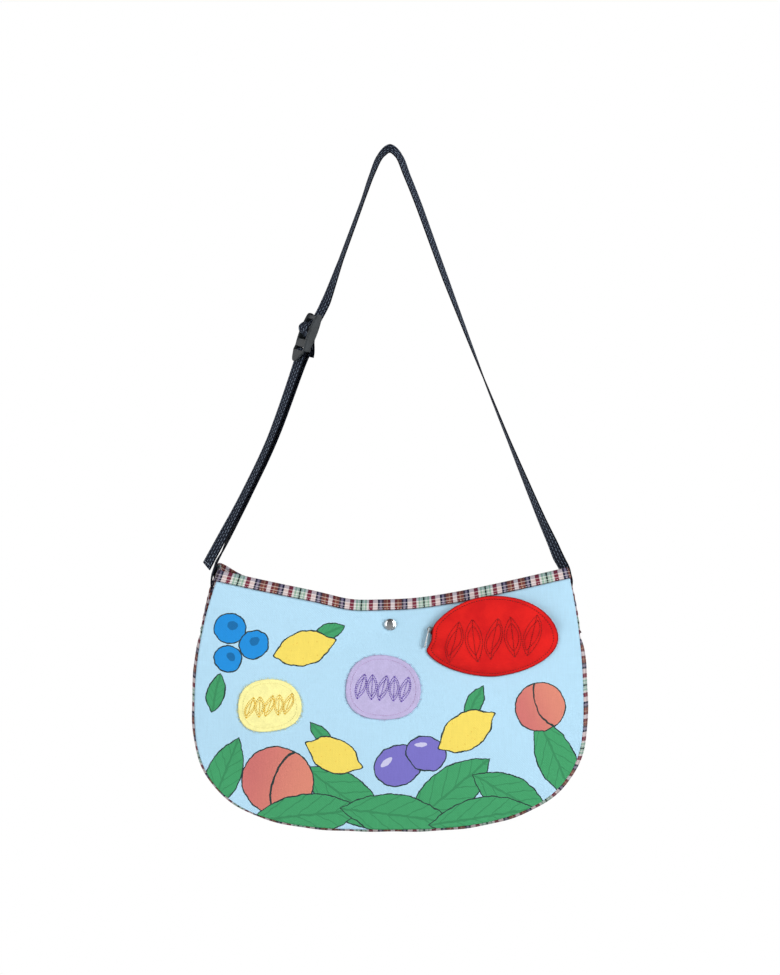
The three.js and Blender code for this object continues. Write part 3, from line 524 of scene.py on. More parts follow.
def motif_fill(finish, row, local, spot):
    """Colour inside a motif: veins on a leaf, pores on a lemon, a blush and crease on a peach, a gleam on a
    plum and a dark crown on a berry."""
    base = dye(row["dye"])
    deep = deeper(base, 0.55)
    pale = tuple(0.6 * c + 0.4 for c in base[:3]) + (1,)
    u, v, _ = finish.split(local)
    if row["kind"] == "leaf":
        across = finish.math("ABSOLUTE", v)
        slant = finish.math("MULTIPLY_ADD", across, -1.7, finish.math("MULTIPLY", u, 3.0))
        veins = finish.math("COMPARE", finish.math("FRACT", slant), 0.5, 0.05)
        rib = finish.math("LESS_THAN", across, 1.1 / row["half"][1])
        return finish.blend(finish.math("MULTIPLY", finish.math("MAXIMUM", veins, rib), 0.55), base, deep)
    if row["kind"] == "lemon":
        pores = finish.nodes.new("ShaderNodeTexVoronoi")
        pores.inputs["Scale"].default_value = 0.22
        finish.feed(pores.inputs["Vector"], spot)
        speck = finish.math("LESS_THAN", pores.outputs["Distance"], 0.13)
        return finish.blend(finish.math("MULTIPLY", speck, 0.5), base, dye("#e2a92e"))
    if row["kind"] == "peach":
        blush = finish.blend(finish.ease(u, -1.0, 0.9, 0.0, 0.45), base, dye("#f0a07a"))
        arc = finish.vector("LENGTH", finish.local(local, (0.72, 0.0), (0.86, 1.25)), output=1)
        return finish.blend(finish.math("COMPARE", arc, 1.0, 0.035), blush, dye(INK))
    if row["kind"] == "plum":
        gleam = finish.vector("LENGTH", finish.local(local, (-0.4, 0.38), (0.3, 0.14), 24), output=1)
        return finish.blend(finish.math("LESS_THAN", gleam, 1.0), base, pale)
    crown = finish.vector("LENGTH", finish.local(local, (0.15, 0.22), (0.34, 0.3)), output=1)
    return finish.blend(finish.math("LESS_THAN", crown, 1.0), base, deep)


def canvas_finish(name, ground, motifs):
    """Cotton canvas: plain weave, faint upright streaks of uneven yarn and, on the front, printed motifs with
    a thin drawn outline."""
    finish = Finish(name, roughness=0.95)
    place = finish.place()
    x, _, z = finish.split(place)
    colour = dye(ground)
    if motifs:
        wobble = finish.vector("SUBTRACT", finish.noise(place, 0.11, 2.0, "Color"), (0.5, 0.5, 0.5))
        spot = finish.vector("ADD", finish.join(x, z), finish.vector("SCALE", wobble, 4.0))
        spot = finish.vector("MULTIPLY", spot, (1, 1, 0))
        for row in motifs:
            local = finish.local(spot, (row["x"], row["z"]), row["half"], row["turn"])
            edge = motif_edge(finish, row["kind"], local)
            fill = motif_fill(finish, row, local, spot)
            colour = finish.blend(finish.math("LESS_THAN", edge, 1.0), colour, fill)
            line = finish.math("COMPARE", edge, 1.0, INK_HALF / row["half"][1])
            colour = finish.blend(line, colour, dye(INK))
    streaks = finish.noise(finish.vector("MULTIPLY", place, (1.1, 1.1, 0.05)), 1.0, 3.0)
    yarn = finish.noise(finish.vector("MULTIPLY", place, (0.07, 0.07, 1.2)), 1.0, 3.0)
    uneven = finish.math("MULTIPLY_ADD", streaks, 0.14, finish.math("MULTIPLY", yarn, 0.08))
    colour = finish.blend(1.0, colour, finish.join(*[finish.math("ADD", uneven, 0.87)] * 3), "MULTIPLY")
    threads = finish.weave(place, WEAVE_PITCH)
    finish.colour(finish.blend(finish.ease(threads, -1.0, 1.0, 0.0, 0.07), colour, dye("#6f8fa6")))
    finish.relief(threads, 0.35, 0.25)
    return finish.material


def wall_sheet(name, wall, columns, rows):
    """Grid over a whole wall, even in u and v, from the mouth to the base."""
    u, v = np.meshgrid(np.linspace(-1, 1, columns), np.linspace(-1, 1, rows), indexing="ij")
    piece = skin(name, wall_point(wall, u, v), outward=(0, wall["facing"], 0))
    thicken(piece, CLOTH, inner_slot=1)
    return piece


canvas_reverse = canvas_finish("canvas_reverse", SKY_REVERSE, [])
front = wall_sheet("front_canvas", FRONT, columns=221, rows=161)
front.data.materials.append(canvas_finish("printed_canvas", SKY, PRINT))
front.data.materials.append(canvas_reverse)
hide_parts("front_panel")
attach(front, "bag")

# Back wall: the same canvas without a print, sewn in the same way. It is a little flatter than the front and
# its left top corner stands slightly higher.
back = wall_sheet("back_canvas", BACK, columns=181, rows=131)
back.data.materials.append(canvas_finish("plain_canvas", SKY, []))
back.data.materials.append(canvas_reverse)
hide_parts("back_panel")
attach(back, "bag")

# Gusset: one long strip of yarn-dyed plaid cotton between the walls, down one side, under the base and up the
# other. It bulges softly between its two sewn edges and is tucked in under the two straps sewn on it.
GUSSET = {
    "bulge": 4.1, "bulge_right": 1.05, "flat_from": 0.4, "flat_to": 0.62, "rim_step": 1.3, "rim_proud": 0.7,
}
GUSSET_TUCK = {"depth": 2.2, "from": 0.46, "full": 0.6, "until": 0.8, "end": 0.93, "wide": 0.775}
GUSSET_RIDGE = {"high": 1.4, "at": 0.91}
GUSSET_RUMPLE = {"edge": 0.35, "edge_pitch": 8.3, "middle": 0.3, "middle_pitch": 47}
SEAM_GRID = {"side": 110, "base": 240, "across": 61, "smoothing": 6}
PLAID_REPEAT = 63
PLAID_STRIPES = [
    {"from": 0.0, "dye": "#27463e"}, {"from": 0.8, "dye": "#c2e6d4"}, {"from": 2.6, "dye": "#f4fbf6"},
    {"from": 3.4, "dye": "#a9d6bf"}, {"from": 5.4, "dye": "#f6f8f4"}, {"from": 7.4, "dye": "#93384e"},
    {"from": 11.6, "dye": "#fbebea"}, {"from": 16.4, "dye": "#242a4c"}, {"from": 18.4, "dye": "#9a92ac"},
    {"from": 20.6, "dye": "#4a4250"}, {"from": 22.4, "dye": "#94544a"}, {"from": 25.4, "dye": "#b98a70"},
    {"from": 26.6, "dye": "#84383c"}, {"from": 29.4, "dye": "#f3e9ec"},
]
WEFT_PITCH = 10.95
PLAID_WEFT = [
    {"from": 0.0, "dye": "#b0aeb5"}, {"from": 0.1, "dye": "#ffffff"}, {"from": 0.2, "dye": "#e2dcde"},
    {"from": 0.32, "dye": "#ffffff"}, {"from": 0.4, "dye": "#e8e0de"}, {"from": 0.62, "dye": "#ffffff"},
    {"from": 0.68, "dye": "#c6c8d2"}, {"from": 0.94, "dye": "#dedce2"},
]
WEFT_LINES = {"at": (0.34, 0.64), "half": 0.035, "share": 0.3, "dye": "#fbf6f0"}


def plaid_finish(name, weft_shift):
    """Plaid of dyed yarn: stripes mirrored about the mint line across the cloth, dark and pale stripes along
    it, and a fine weave that mixes the two."""
    finish = Finish(name, roughness=0.95)
    run = finish.run()
    along, across, _ = finish.split(run)
    turn = finish.math("FRACT", finish.math("MULTIPLY_ADD", along, 1 / PLAID_REPEAT, 0.5))
    away = finish.math("MULTIPLY", finish.math("ABSOLUTE", finish.math("SUBTRACT", turn, 0.5)), 2.0)
    half = PLAID_REPEAT / 2
    warp = finish.bands(away, [(s["from"] / half, s["dye"]) for s in PLAID_STRIPES])
    level = finish.math("FRACT", finish.math("MULTIPLY_ADD", across, 1 / WEFT_PITCH, weft_shift / WEFT_PITCH))
    weft = finish.bands(level, [(s["from"], s["dye"]) for s in PLAID_WEFT])
    colour = finish.blend(1.0, warp, weft, "MULTIPLY")
    lines = [finish.math("COMPARE", level, place, WEFT_LINES["half"]) for place in WEFT_LINES["at"]]
    line = finish.math("MULTIPLY", finish.math("MAXIMUM", *lines), WEFT_LINES["share"])
    colour = finish.blend(line, colour, dye(WEFT_LINES["dye"]))
    threads = finish.weave(run, 0.6, axes=(0, 1))
    finish.colour(finish.blend(finish.ease(threads, -1.0, 1.0, 0.0, 0.16), colour, dye("#4a4350")))
    finish.relief(threads, 0.3, 0.2)
    return finish.material


def seam_normal(u, v):
    """Outward direction in the front plane, square to the seam, from a small step along the seam each way."""
    step = 0.02
    on_side = (np.abs(u) == 1) & (v < 1)
    du, dv = np.where(on_side, 0, step), np.where(on_side, -step * u, 0)
    ahead = wall_point(FRONT, np.clip(u + du, -1, 1), np.minimum(v + dv, 1))
    behind = wall_point(FRONT, np.clip(u - du, -1, 1), np.minimum(v - dv, 1))
    tangent = (ahead - behind) * (1, 0, 1)
    tangent = unit(tangent)
    return np.stack([tangent[..., 2], 0 * tangent[..., 0], -tangent[..., 0]], -1)


def gusset_point(u, v, w, normal):
    """Middle surface of the gusset: straight from the front seam (w -1) to the back one (w 1), plus a
    parabola of bulge outwards, less a flat-bottomed tuck between two ridges under the sewn straps."""
    u, v, w = np.broadcast_arrays(np.asarray(u, float), np.asarray(v, float), np.asarray(w, float))
    start, end = wall_point(FRONT, u, v), wall_point(BACK, u, v)
    side = start[..., 0] / FRONT["left"]
    loss = smooth_step(GUSSET["flat_from"], GUSSET["flat_to"], -v)
    sunk = smooth_step(GUSSET_TUCK["from"], GUSSET_TUCK["full"], -v)
    sunk = sunk * (1 - smooth_step(GUSSET_TUCK["until"], GUSSET_TUCK["end"], -v))
    high, deep, at, wide = GUSSET_RIDGE["high"], GUSSET_TUCK["depth"], GUSSET_RIDGE["at"], np.abs(w)
    inside = smooth_step(GUSSET_TUCK["wide"], at, wide) * (deep + high) - deep
    ridge = np.where(wide < at, inside, high * (1 - smooth_step(at, 1, wide)))
    middle = (GUSSET["bulge"] + GUSSET["bulge_right"] * side) * (1 - loss) * (1 - w * w)
    bulge = middle + sunk * ridge
    start = start + (0, GUSSET["rim_step"], 0)
    end = end - (0, GUSSET["rim_step"], 0)
    proud = bulge + GUSSET["rim_proud"] - CLOTH / 2
    return mix(start, end, ((w + 1) / 2)[..., None]) + normal * proud[..., None]


def run_length(points):
    """Length along a row of points, from its first one."""
    steps = np.linalg.norm(np.diff(points, axis=0), axis=-1)
    return np.concatenate([[0], np.cumsum(steps)])


side_rows = np.linspace(-1, 1, SEAM_GRID["side"])
base_columns = np.linspace(-1, 1, SEAM_GRID["base"])[1:-1]
seam_u = np.concatenate([-np.ones_like(side_rows), base_columns, np.ones_like(side_rows)])
seam_v = np.concatenate([side_rows, np.ones_like(base_columns), side_rows[::-1]])
seam_line = wall_point(FRONT, seam_u, seam_v) * (1, 0, 1)
seam_tangent = np.gradient(seam_line, axis=0)
seam_tangent = unit(seam_tangent)
seam_out = np.stack([seam_tangent[:, 2], 0 * seam_u, -seam_tangent[:, 0]], -1)
for _ in range(SEAM_GRID["smoothing"]):
    seam_out[1:-1] = (seam_out[:-2] + 2 * seam_out[1:-1] + seam_out[2:]) / 4
seam_out = unit(seam_out)
seam_run = run_length(seam_line)
across = np.linspace(-1, 1, SEAM_GRID["across"])
gusset_grid = gusset_point(seam_u[:, None], seam_v[:, None], across, seam_out[:, None, :])
edge_wave = np.sin(2 * np.pi * seam_run / GUSSET_RUMPLE["edge_pitch"] + np.sin(0.07 * seam_run))[:, None]
middle_wave = np.sin(2 * np.pi * seam_run / GUSSET_RUMPLE["middle_pitch"])[:, None]
rumple = GUSSET_RUMPLE["edge"] * edge_wave * np.abs(across) ** 5
rumple = rumple + GUSSET_RUMPLE["middle"] * middle_wave * (1 - across**2)
gusset_grid = gusset_grid + seam_out[:, None, :] * rumple[..., None]
gusset_uv = np.stack(np.broadcast_arrays(seam_run[:, None], across * DEPTH["bottom"]), -1)
gusset = skin("gusset_strip", gusset_grid, gusset_uv)
thicken(gusset, CLOTH)
gusset.data.materials.append(plaid_finish("gusset_plaid", weft_shift=4))
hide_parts("gusset")
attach(gusset, "bag")

# Mouth binding: a strip of the same plaid folded over the raw top edge all the way round. Its lower edges are
# turned under and caught by one row of stitches that shows on both walls.
BINDING = {"drop": 9.3, "cloth": 1.0, "gap": 0.7, "fold_from": 0.8, "stitch_up": 1.5}
BINDING_HEM = {"proud": 0.35, "up": 1.2, "half": 1.0}
BINDING_STITCH = {"pitch": 3.2, "share": 0.72, "radius": 0.24, "rise": 0.2, "clear": 0.12}
LOOP_COLUMNS = np.linspace(-1, 1, 241)
LOOP_ACROSS = np.linspace(-1, 1, 27)[1:-1]
LOOP_SMOOTHING = 4
OUTER_FACE = 6
MINT_LINE_X = 33.5
THREAD_TWIST = 14.0


def mouth_loop(down):
    """Closed line at a distance below the mouth's edge: front wall, right gusset, back wall, left gusset."""

    def row_at(wall, u):
        """The wall's v at that distance below its edge."""
        base, lean = side_of(u, wall)
        return -1 + down / (mouth_line(u * (base - lean), wall) - WIDEST_Z)

    def edge(wall):
        """The line on a wall, ending on the gusset's seams."""
        row = row_at(wall, LOOP_COLUMNS)
        line = wall_point(wall, LOOP_COLUMNS, row)
        for k in (0, -1):
            u, v = LOOP_COLUMNS[k], row[k]
            w = wall["facing"] * (1 + GUSSET["rim_step"] / (abs(line[k, 1]) - GUSSET["rim_step"]))
            line[k] = gusset_point(u, v, w, seam_normal(u, v))
        return line

    def side(u):
        """The line across the gusset on one side."""
        v = row_at(FRONT, np.float64(u))
        return gusset_point(u, v, LOOP_ACROSS, seam_normal(np.float64(u), v))

    return np.concatenate([edge(FRONT), side(1), edge(BACK)[::-1], side(-1)[::-1]])


def beside(loop, distance):
    """The loop moved sideways by a distance, square to its run in plan, with its corners softened."""
    before, after = loop - np.roll(loop, 1, 0), np.roll(loop, -1, 0) - loop
    a, b = (np.stack([d[:, 1], -d[:, 0]], -1) for d in (before, after))
    a, b = unit(a), unit(b)
    sideways = (a + b) / (1 + np.sum(a * b, -1, keepdims=True))
    moved = loop + distance * np.concatenate([sideways, 0 * sideways[:, :1]], -1)
    for _ in range(LOOP_SMOOTHING):
        moved = (np.roll(moved, 1, 0) + 2 * moved + np.roll(moved, -1, 0)) / 4
    return moved


def binding_section():
    """The folded strip in section, as distances out and down: the outer skin over a round fold, then the
    inner skin."""
    near = CLOTH / 2 + BINDING["gap"]
    far = near + BINDING["cloth"]
    fold_from = BINDING["fold_from"]
    leg = np.linspace(BINDING["drop"], fold_from, 8)
    hem = BINDING_HEM["proud"] * bell(leg - BINDING["drop"], -BINDING_HEM["up"], BINDING_HEM["half"])
    turn = np.linspace(0, np.pi, 11)[1:-1]
    outer_top = fold_from - (fold_from + BINDING["gap"] + BINDING["cloth"]) * np.sin(turn)
    inner_top = fold_from - (fold_from + BINDING["gap"]) * np.sin(turn)
    outer_out = np.concatenate([far + hem, far * np.cos(turn), -(far + hem)[::-1]])
    outer_down = np.concatenate([leg, outer_top, leg[::-1]])
    inner_out = np.concatenate([-near + 0 * leg, -near * np.cos(turn), near + 0 * leg])
    inner_down = np.concatenate([leg, inner_top, leg[::-1]])
    return np.concatenate([outer_out, inner_out]), np.concatenate([outer_down, inner_down])


section_out, section_down = binding_section()
levels = np.stack([beside(mouth_loop(d), o) for o, d in zip(section_out, section_down)], 1)
levels = np.concatenate([levels, levels[:1]])
loop_run = run_length(levels[:, OUTER_FACE])
front_x = levels[: len(LOOP_COLUMNS), OUTER_FACE, 0]
mint_run = loop_run[np.argmin(np.abs(front_x - MINT_LINE_X))]
section_run = np.append(section_down, section_down[0])
binding_uv = np.stack(np.broadcast_arrays(loop_run[:, None] - mint_run, -section_run), -1)
binding = skin("mouth_binding_strip", levels, binding_uv, round_section=True)
binding.data.materials.append(plaid_finish("binding_plaid", weft_shift=9.3))
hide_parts("mouth_binding")
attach(binding, "bag")


def tube_quads(rings, sides):
    """Quads between neighbouring rings of a tube, by corner number."""
    i, j = (a.ravel() for a in np.meshgrid(np.arange(rings - 1), np.arange(sides), indexing="ij"))
    k = (j + 1) % sides
    return np.stack([i * sides + j, i * sides + k, (i + 1) * sides + k, (i + 1) * sides + j], 1)


def rows_at(place, known, rows):
    """Vectors mixed evenly at places among the known ones."""
    return np.stack([np.interp(place, known, rows[:, k]) for k in range(3)], -1)


def thread_stitches(name, starts, ends, lifts, stitch):
    """Short threads: each is a five-sided tube of the stitch's radius, bowed up by its rise from start to end
    and thin where it enters the cloth."""
    t = np.linspace(0, 1, 5)
    turn = np.linspace(0, 2 * np.pi, 6)[:-1]
    run = ends - starts
    side = unit(np.cross(unit(run), lifts))
    bow = np.sin(np.pi * t)
    middle = starts[:, None] + run[:, None] * t[:, None] + lifts[:, None] * (stitch["rise"] * bow)[:, None]
    thick = stitch["radius"] * (0.35 + 0.65 * np.sqrt(bow))
    ring = side[:, None, None] * np.cos(turn)[:, None] + lifts[:, None, None] * np.sin(turn)[:, None]
    tubes = middle[:, :, None] + thick[None, :, None, None] * ring
    count, rings, sides = tubes.shape[:3]
    first = (np.arange(count) * rings * sides)[:, None]
    faces = (first[:, None] + tube_quads(rings, sides)).reshape(-1, 4).tolist()
    faces += (first + np.arange(sides)[::-1]).tolist()
    faces += (first + (rings - 1) * sides + np.arange(sides)).tolist()
    piece = new_piece(name, tubes, faces)
    piece.data.shade_smooth()
    return piece


def along_line(line, lifts, stitch):
    """Start, end and lift of each stitch on a line of points, one in each pitch, as long as a share of it."""
    run = run_length(line)
    count = max(int(run[-1] / stitch["pitch"]), 1)
    first = np.arange(count) * (run[-1] / count)
    long = stitch["pitch"] * stitch["share"]
    up = unit(rows_at(first + long / 2, run, lifts))
    return rows_at(first, run, line), rows_at(first + long, run, line), up


def gathered(parts):
    """Stitches of several lines as one set."""
    return [np.concatenate(column) for column in zip(*parts)]


def thread_finish(name, code):
    """Twisted cotton thread: dyed, soft, with a fine slanting twist."""
    finish = Finish(name, roughness=0.75, sheen=0.1)
    place = finish.place()
    x, y, z = finish.split(place)
    slant = finish.math("ADD", finish.math("ADD", x, y), z)
    twist = finish.math("SINE", finish.math("MULTIPLY", slant, THREAD_TWIST))
    base = dye(code)
    deep = deeper(base, 0.6)
    finish.colour(finish.blend(finish.ease(twist, -1.0, 1.0, 0.0, 0.4), base, deep))
    finish.relief(twist, 0.4, 0.1)
    return finish.material


stitch_down = BINDING["drop"] - BINDING["stitch_up"]
stitch_out = CLOTH / 2 + BINDING["gap"] + BINDING["cloth"] + BINDING_STITCH["clear"]
hem_line = beside(mouth_loop(stitch_down), stitch_out)
hem_lift = hem_line - beside(mouth_loop(stitch_down), stitch_out - 1)
hem_lift = unit(hem_lift)
hem_stitches = along_line(hem_line, hem_lift, BINDING_STITCH)
binding_stitches = thread_stitches("binding_stitches", *hem_stitches, BINDING_STITCH)
binding_stitches.data.materials.append(thread_finish("binding_thread", "#e6dcd4"))
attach(binding_stitches, "bag")

# Straps: 30 mm navy webbing, thick at its edges, with four sewn rows of pale dashes. The long strap runs from
# the right gusset over the hanging point and through the buckle. The short one runs from the left gusset
# round the buckle's end bar and back down as a loose tail. Both are sewn flat on the gusset.
STRAP = {"width": 30, "thick": 1.6, "steps": 14, "closest": 0.15}
DASH_ROWS = (-11.4, -3.8, 3.8, 11.4)
DASH_PITCH = 4.6
DASH_GROOVE = {"deep": 0.13, "half": 0.8}
SEWN = {
    "right_end": -486, "left_end": -484, "rows": 11, "clear_binding": 13, "gap": 1.22, "over_gap": 1.1,
    "left_rise": 2.5, "twist_at": 0.7,
}
LOOP_MIDDLE_Z = -260
LONG_STRAP = [
    {"x": 169.8, "z": -411, "twist": 19}, {"x": 163.9, "z": -397, "twist": 16.6},
    {"x": 153.3, "z": -373.6, "twist": 12.6}, {"x": 136.3, "z": -333.2, "twist": 7.4},
    {"x": 119.6, "z": -292.9, "twist": 2.2}, {"x": 98.2, "z": -240, "twist": -1.2},
    {"x": 87.2, "z": -212.2, "twist": -5}, {"x": 56.4, "z": -131.6, "twist": -12.8},
    {"x": 27.0, "z": -50.9, "twist": -14.2}, {"x": 16.8, "z": -25.5, "twist": -14.5},
    {"x": 9.0, "z": -6.8, "twist": -16}, {"x": 0, "z": 0.9, "twist": -23},
    {"x": -9.6, "z": -6.8, "twist": -15}, {"x": -18.2, "z": -25.5, "twist": -11},
    {"x": -27.2, "z": -50.9, "twist": -8.4}, {"x": -49.4, "z": -111.5, "twist": -10.6},
]
LOAD_STRAND = [
    {"x": -169.6, "z": -406.5, "twist": -3}, {"x": -162.4, "z": -391, "twist": -8},
    {"x": -145.0, "z": -353.4, "twist": -13.6}, {"x": -117.2, "z": -293.5, "twist": -15.2},
]
TAIL = [
    {"x": -120.6, "z": -292.0, "twist": -15.2}, {"x": -148.7, "z": -351.8, "twist": -16.6},
    {"x": -169.0, "z": -390.5, "twist": -20}, {"x": -185.0, "z": -420.2, "twist": -21},
]
TAIL_CUT = {"slant": 1.3, "run": 12}
LEG_LEAN = np.radians(21)
BUCKLE = {"x": -73.6, "z": -162.7, "twist": -20}
END_BAR = {"along": 41, "out": -2.7, "radius": 1.5}
LOOP = {"radius": 2.75, "lead": 9, "closing": 0.7, "rows": 9}
THREADING = [
    {"along": -12, "out": -5.4}, {"along": 0, "out": -4.4}, {"along": 6, "out": -3.5},
    {"along": 10.8, "out": -2.6}, {"along": 13.2, "out": -0.2}, {"along": 14.2, "out": 2.6},
    {"along": 16.3, "out": 5.6}, {"along": 20, "out": 7.2}, {"along": 23.7, "out": 5.8},
    {"along": 25.7, "out": 2.8}, {"along": 26.7, "out": 0}, {"along": 27.6, "out": -2.2},
    {"along": 29.2, "out": -3.8}, {"along": 32, "out": -4.8}, {"along": 36, "out": -6.6},
    {"along": 41, "out": -8.5}, {"along": 46, "out": -9.6},
]
leg_along = np.array([-np.sin(LEG_LEAN), 0, -np.cos(LEG_LEAN)])
leg_out = np.array([-np.cos(LEG_LEAN), 0, np.sin(LEG_LEAN)])
buckle_twist = np.radians(BUCKLE["twist"])
buckle_out = leg_out * np.cos(buckle_twist) + np.array([0, np.sin(buckle_twist), 0])
buckle_across = np.cross(leg_along, buckle_out)
buckle_origin = np.array([BUCKLE["x"], 0, BUCKLE["z"]])


def free_rows(table, away_from_loop):
    """Place, twist and outward direction of each row of a free strand, square to its neighbours' line."""
    place = np.array([[row["x"], 0, row["z"]] for row in table], float)
    run = np.concatenate([place[1:], place[-1:]]) - np.concatenate([place[:1], place[:-1]])
    out = np.stack([run[:, 2], 0 * run[:, 1], -run[:, 0]], -1)
    out = unit(out)
    out *= np.sign(np.sum(out * away_from_loop(place), -1, keepdims=True))
    return place, np.array([row["twist"] for row in table], float), out


def sewn_rows(side, end):
    """Rows of a strap end that lies on the gusset and steps out over the binding near the mouth."""
    corner = mouth_line(side * (FRONT["right"] - FRONT["lean_right"]), FRONT)
    highest = corner + BINDING["cloth"] + BINDING["gap"] + (SEWN["left_rise"] if side < 0 else 0)
    z = np.linspace(end, highest, SEWN["rows"])
    u, v = np.full(len(z), float(side)), -(z - WIDEST_Z) / (corner - WIDEST_Z)
    over = smooth_step(corner - BINDING["drop"] - SEWN["clear_binding"], corner - BINDING["drop"], z)
    clear = mix(SEWN["gap"], BINDING["gap"] + BINDING["cloth"] + SEWN["over_gap"], over)
    proud = CLOTH / 2 + clear + STRAP["thick"] / 2
    normal = seam_normal(u, v)
    ahead, behind = (gusset_point(u, v, edge * SEWN["twist_at"], normal) for edge in (-1, 1))
    twist = np.degrees(np.arctan2(side * (ahead - behind)[:, 0], (behind - ahead)[:, 1]))
    return (gusset_point(u, v, 0, normal) + normal * proud[:, None]) * (1, 0, 1), twist, normal


def buckle_rows(table):
    """Rows threaded through the buckle, given along it and out from it."""
    place = buckle_origin + np.array([row["along"] * leg_along + row["out"] * buckle_out for row in table])
    return place, np.full(len(table), float(BUCKLE["twist"])), np.tile(leg_out, (len(table), 1))


def smooth_strand(blocks):
    """Centripetal spline through all rows: a cubic for each pair whose end slopes weigh the neighbouring rows
    by the square root of their distance. Twist and outward direction mix evenly from row to row."""
    place, twist, out = (np.concatenate(column) for column in zip(*blocks))
    padded = np.concatenate([2 * place[:1] - place[1:2], place, 2 * place[-1:] - place[-2:-1]])
    a, b, c, d = padded[:-3], padded[1:-2], padded[2:-1], padded[3:]
    ab, bc, cd = (np.sqrt(np.linalg.norm(q - p, axis=-1))[:, None] for p, q in ((a, b), (b, c), (c, d)))
    slope_b = ((b - a) / ab - (c - a) / (ab + bc) + (c - b) / bc) * bc
    slope_c = ((c - b) / bc - (d - b) / (bc + cd) + (d - c) / cd) * bc
    t = np.linspace(0, 1, STRAP["steps"], endpoint=False)[:, None, None]
    cubic = b + slope_b * t + (3 * (c - b) - 2 * slope_b - slope_c) * t**2
    cubic = cubic + (2 * (b - c) + slope_b + slope_c) * t**3
    line = np.concatenate([cubic.transpose(1, 0, 2).reshape(-1, 3), place[-1:]])
    rows = np.linspace(0, len(place) - 1, len(line))
    known = np.arange(len(place))
    turn = np.radians(np.interp(rows, known, twist))
    outward = unit(rows_at(rows, known, out))
    across = outward * np.sin(turn)[:, None] - np.array([0, 1, 0]) * np.cos(turn)[:, None]
    return line, across


def webbing_section():
    """Webbing in section: full rounded edges and a shallow bell-shaped groove at each row of dashes."""
    half, thick = STRAP["width"] / 2, STRAP["thick"] / 2
    across = half * np.sin(np.linspace(-np.pi / 2, np.pi / 2, 33))
    edge = np.clip(1 - (np.abs(across) / half) ** 14, 0, 1) ** 0.5
    groove = sum(bell(across, row, DASH_GROOVE["half"]) for row in DASH_ROWS)
    height = (thick - DASH_GROOVE["deep"] * groove) * edge
    return np.concatenate([across, across[::-1][1:-1]]), np.concatenate([height, -height[::-1][1:-1]])


def webbing(name, blocks, slant=0.0):
    """The section carried along a strand; its map gives the run along the webbing and the place across it.
    A slanted end is cut longer on the front edge than on the back one."""
    line, across = smooth_strand(blocks)
    keep = np.concatenate([[True], np.linalg.norm(np.diff(line, axis=0), axis=-1) > STRAP["closest"]])
    line, across = line[keep], across[keep]
    tangent = np.gradient(line, axis=0)
    tangent = unit(tangent)
    across = across - tangent * np.sum(across * tangent, -1, keepdims=True)
    across = unit(across)
    normal = np.cross(tangent, across)
    a, b = webbing_section()
    points = line[:, None] + across[:, None] * a[:, None] + normal[:, None] * b[:, None]
    run = run_length(line)
    near_end = smooth_step(run[-1] - TAIL_CUT["run"], run[-1], run)[:, None]
    near_end = near_end * a * (2 * slant / STRAP["width"])
    points = points + tangent[:, None] * near_end[..., None]
    uv = np.stack(np.broadcast_arrays(run[:, None], np.append(a, a[0])), -1)
    return skin(name, points, uv, round_section=True, caps="both"), (line, across, normal)


def webbing_finish():
    """Navy webbing: a fine herringbone, darker edges and rows of pale dashes that shift from row to row."""
    finish = Finish("navy_webbing", roughness=0.8, gloss=0.1)
    run = finish.run()
    along, across, _ = finish.split(run)
    wide = finish.math("ABSOLUTE", across)
    slant = finish.math("ADD", finish.math("MULTIPLY", along, 3.4), finish.math("MULTIPLY", wide, 3.4))
    twill = finish.math("SINE", slant)
    colour = finish.blend(finish.ease(twill, -1.0, 1.0, 0.0, 0.55), dye("#0a1122"), dye("#141f36"))
    colour = finish.blend(finish.ease(wide, 11.6, 14.2, 0.0, 0.8), colour, dye("#070a14"))
    gap = DASH_ROWS[1] - DASH_ROWS[0]
    row = finish.math("ADD", finish.math("FLOOR", finish.math("DIVIDE", across, gap)), 0.5)
    off_row = finish.math("ABSOLUTE", finish.math("SUBTRACT", across, finish.math("MULTIPLY", row, gap)))
    shifted = finish.math("MULTIPLY_ADD", row, 0.5, finish.math("DIVIDE", along, DASH_PITCH))
    dash = finish.math("MULTIPLY", finish.math("LESS_THAN", finish.math("FRACT", shifted), 0.62),
                       finish.math("LESS_THAN", off_row, 0.45))
    worn = finish.ease(finish.noise(run, 0.35, 2.0), 0.3, 0.6, 0.4, 0.85)
    finish.colour(finish.blend(finish.math("MULTIPLY", dash, worn), colour, dye("#b9cfe8")))
    finish.relief(finish.math("ADD", twill, finish.math("MULTIPLY", dash, 2.0)), 0.4, 0.22)
    return finish.material


def out_of_loop(place):
    """Direction away from the middle of the strap's big loop."""
    return place - np.array([0, 0, LOOP_MIDDLE_Z])


def to_left(place):
    """Straight to the left, for the strands below the buckle."""
    return np.tile([-1.0, 0, 0], (len(place), 1))


def by_end_bar(along, out):
    """A row of webbing at a place along the buckle and out from it, counted from the end bar's middle."""
    return {"along": END_BAR["along"] + along, "out": END_BAR["out"] + out}


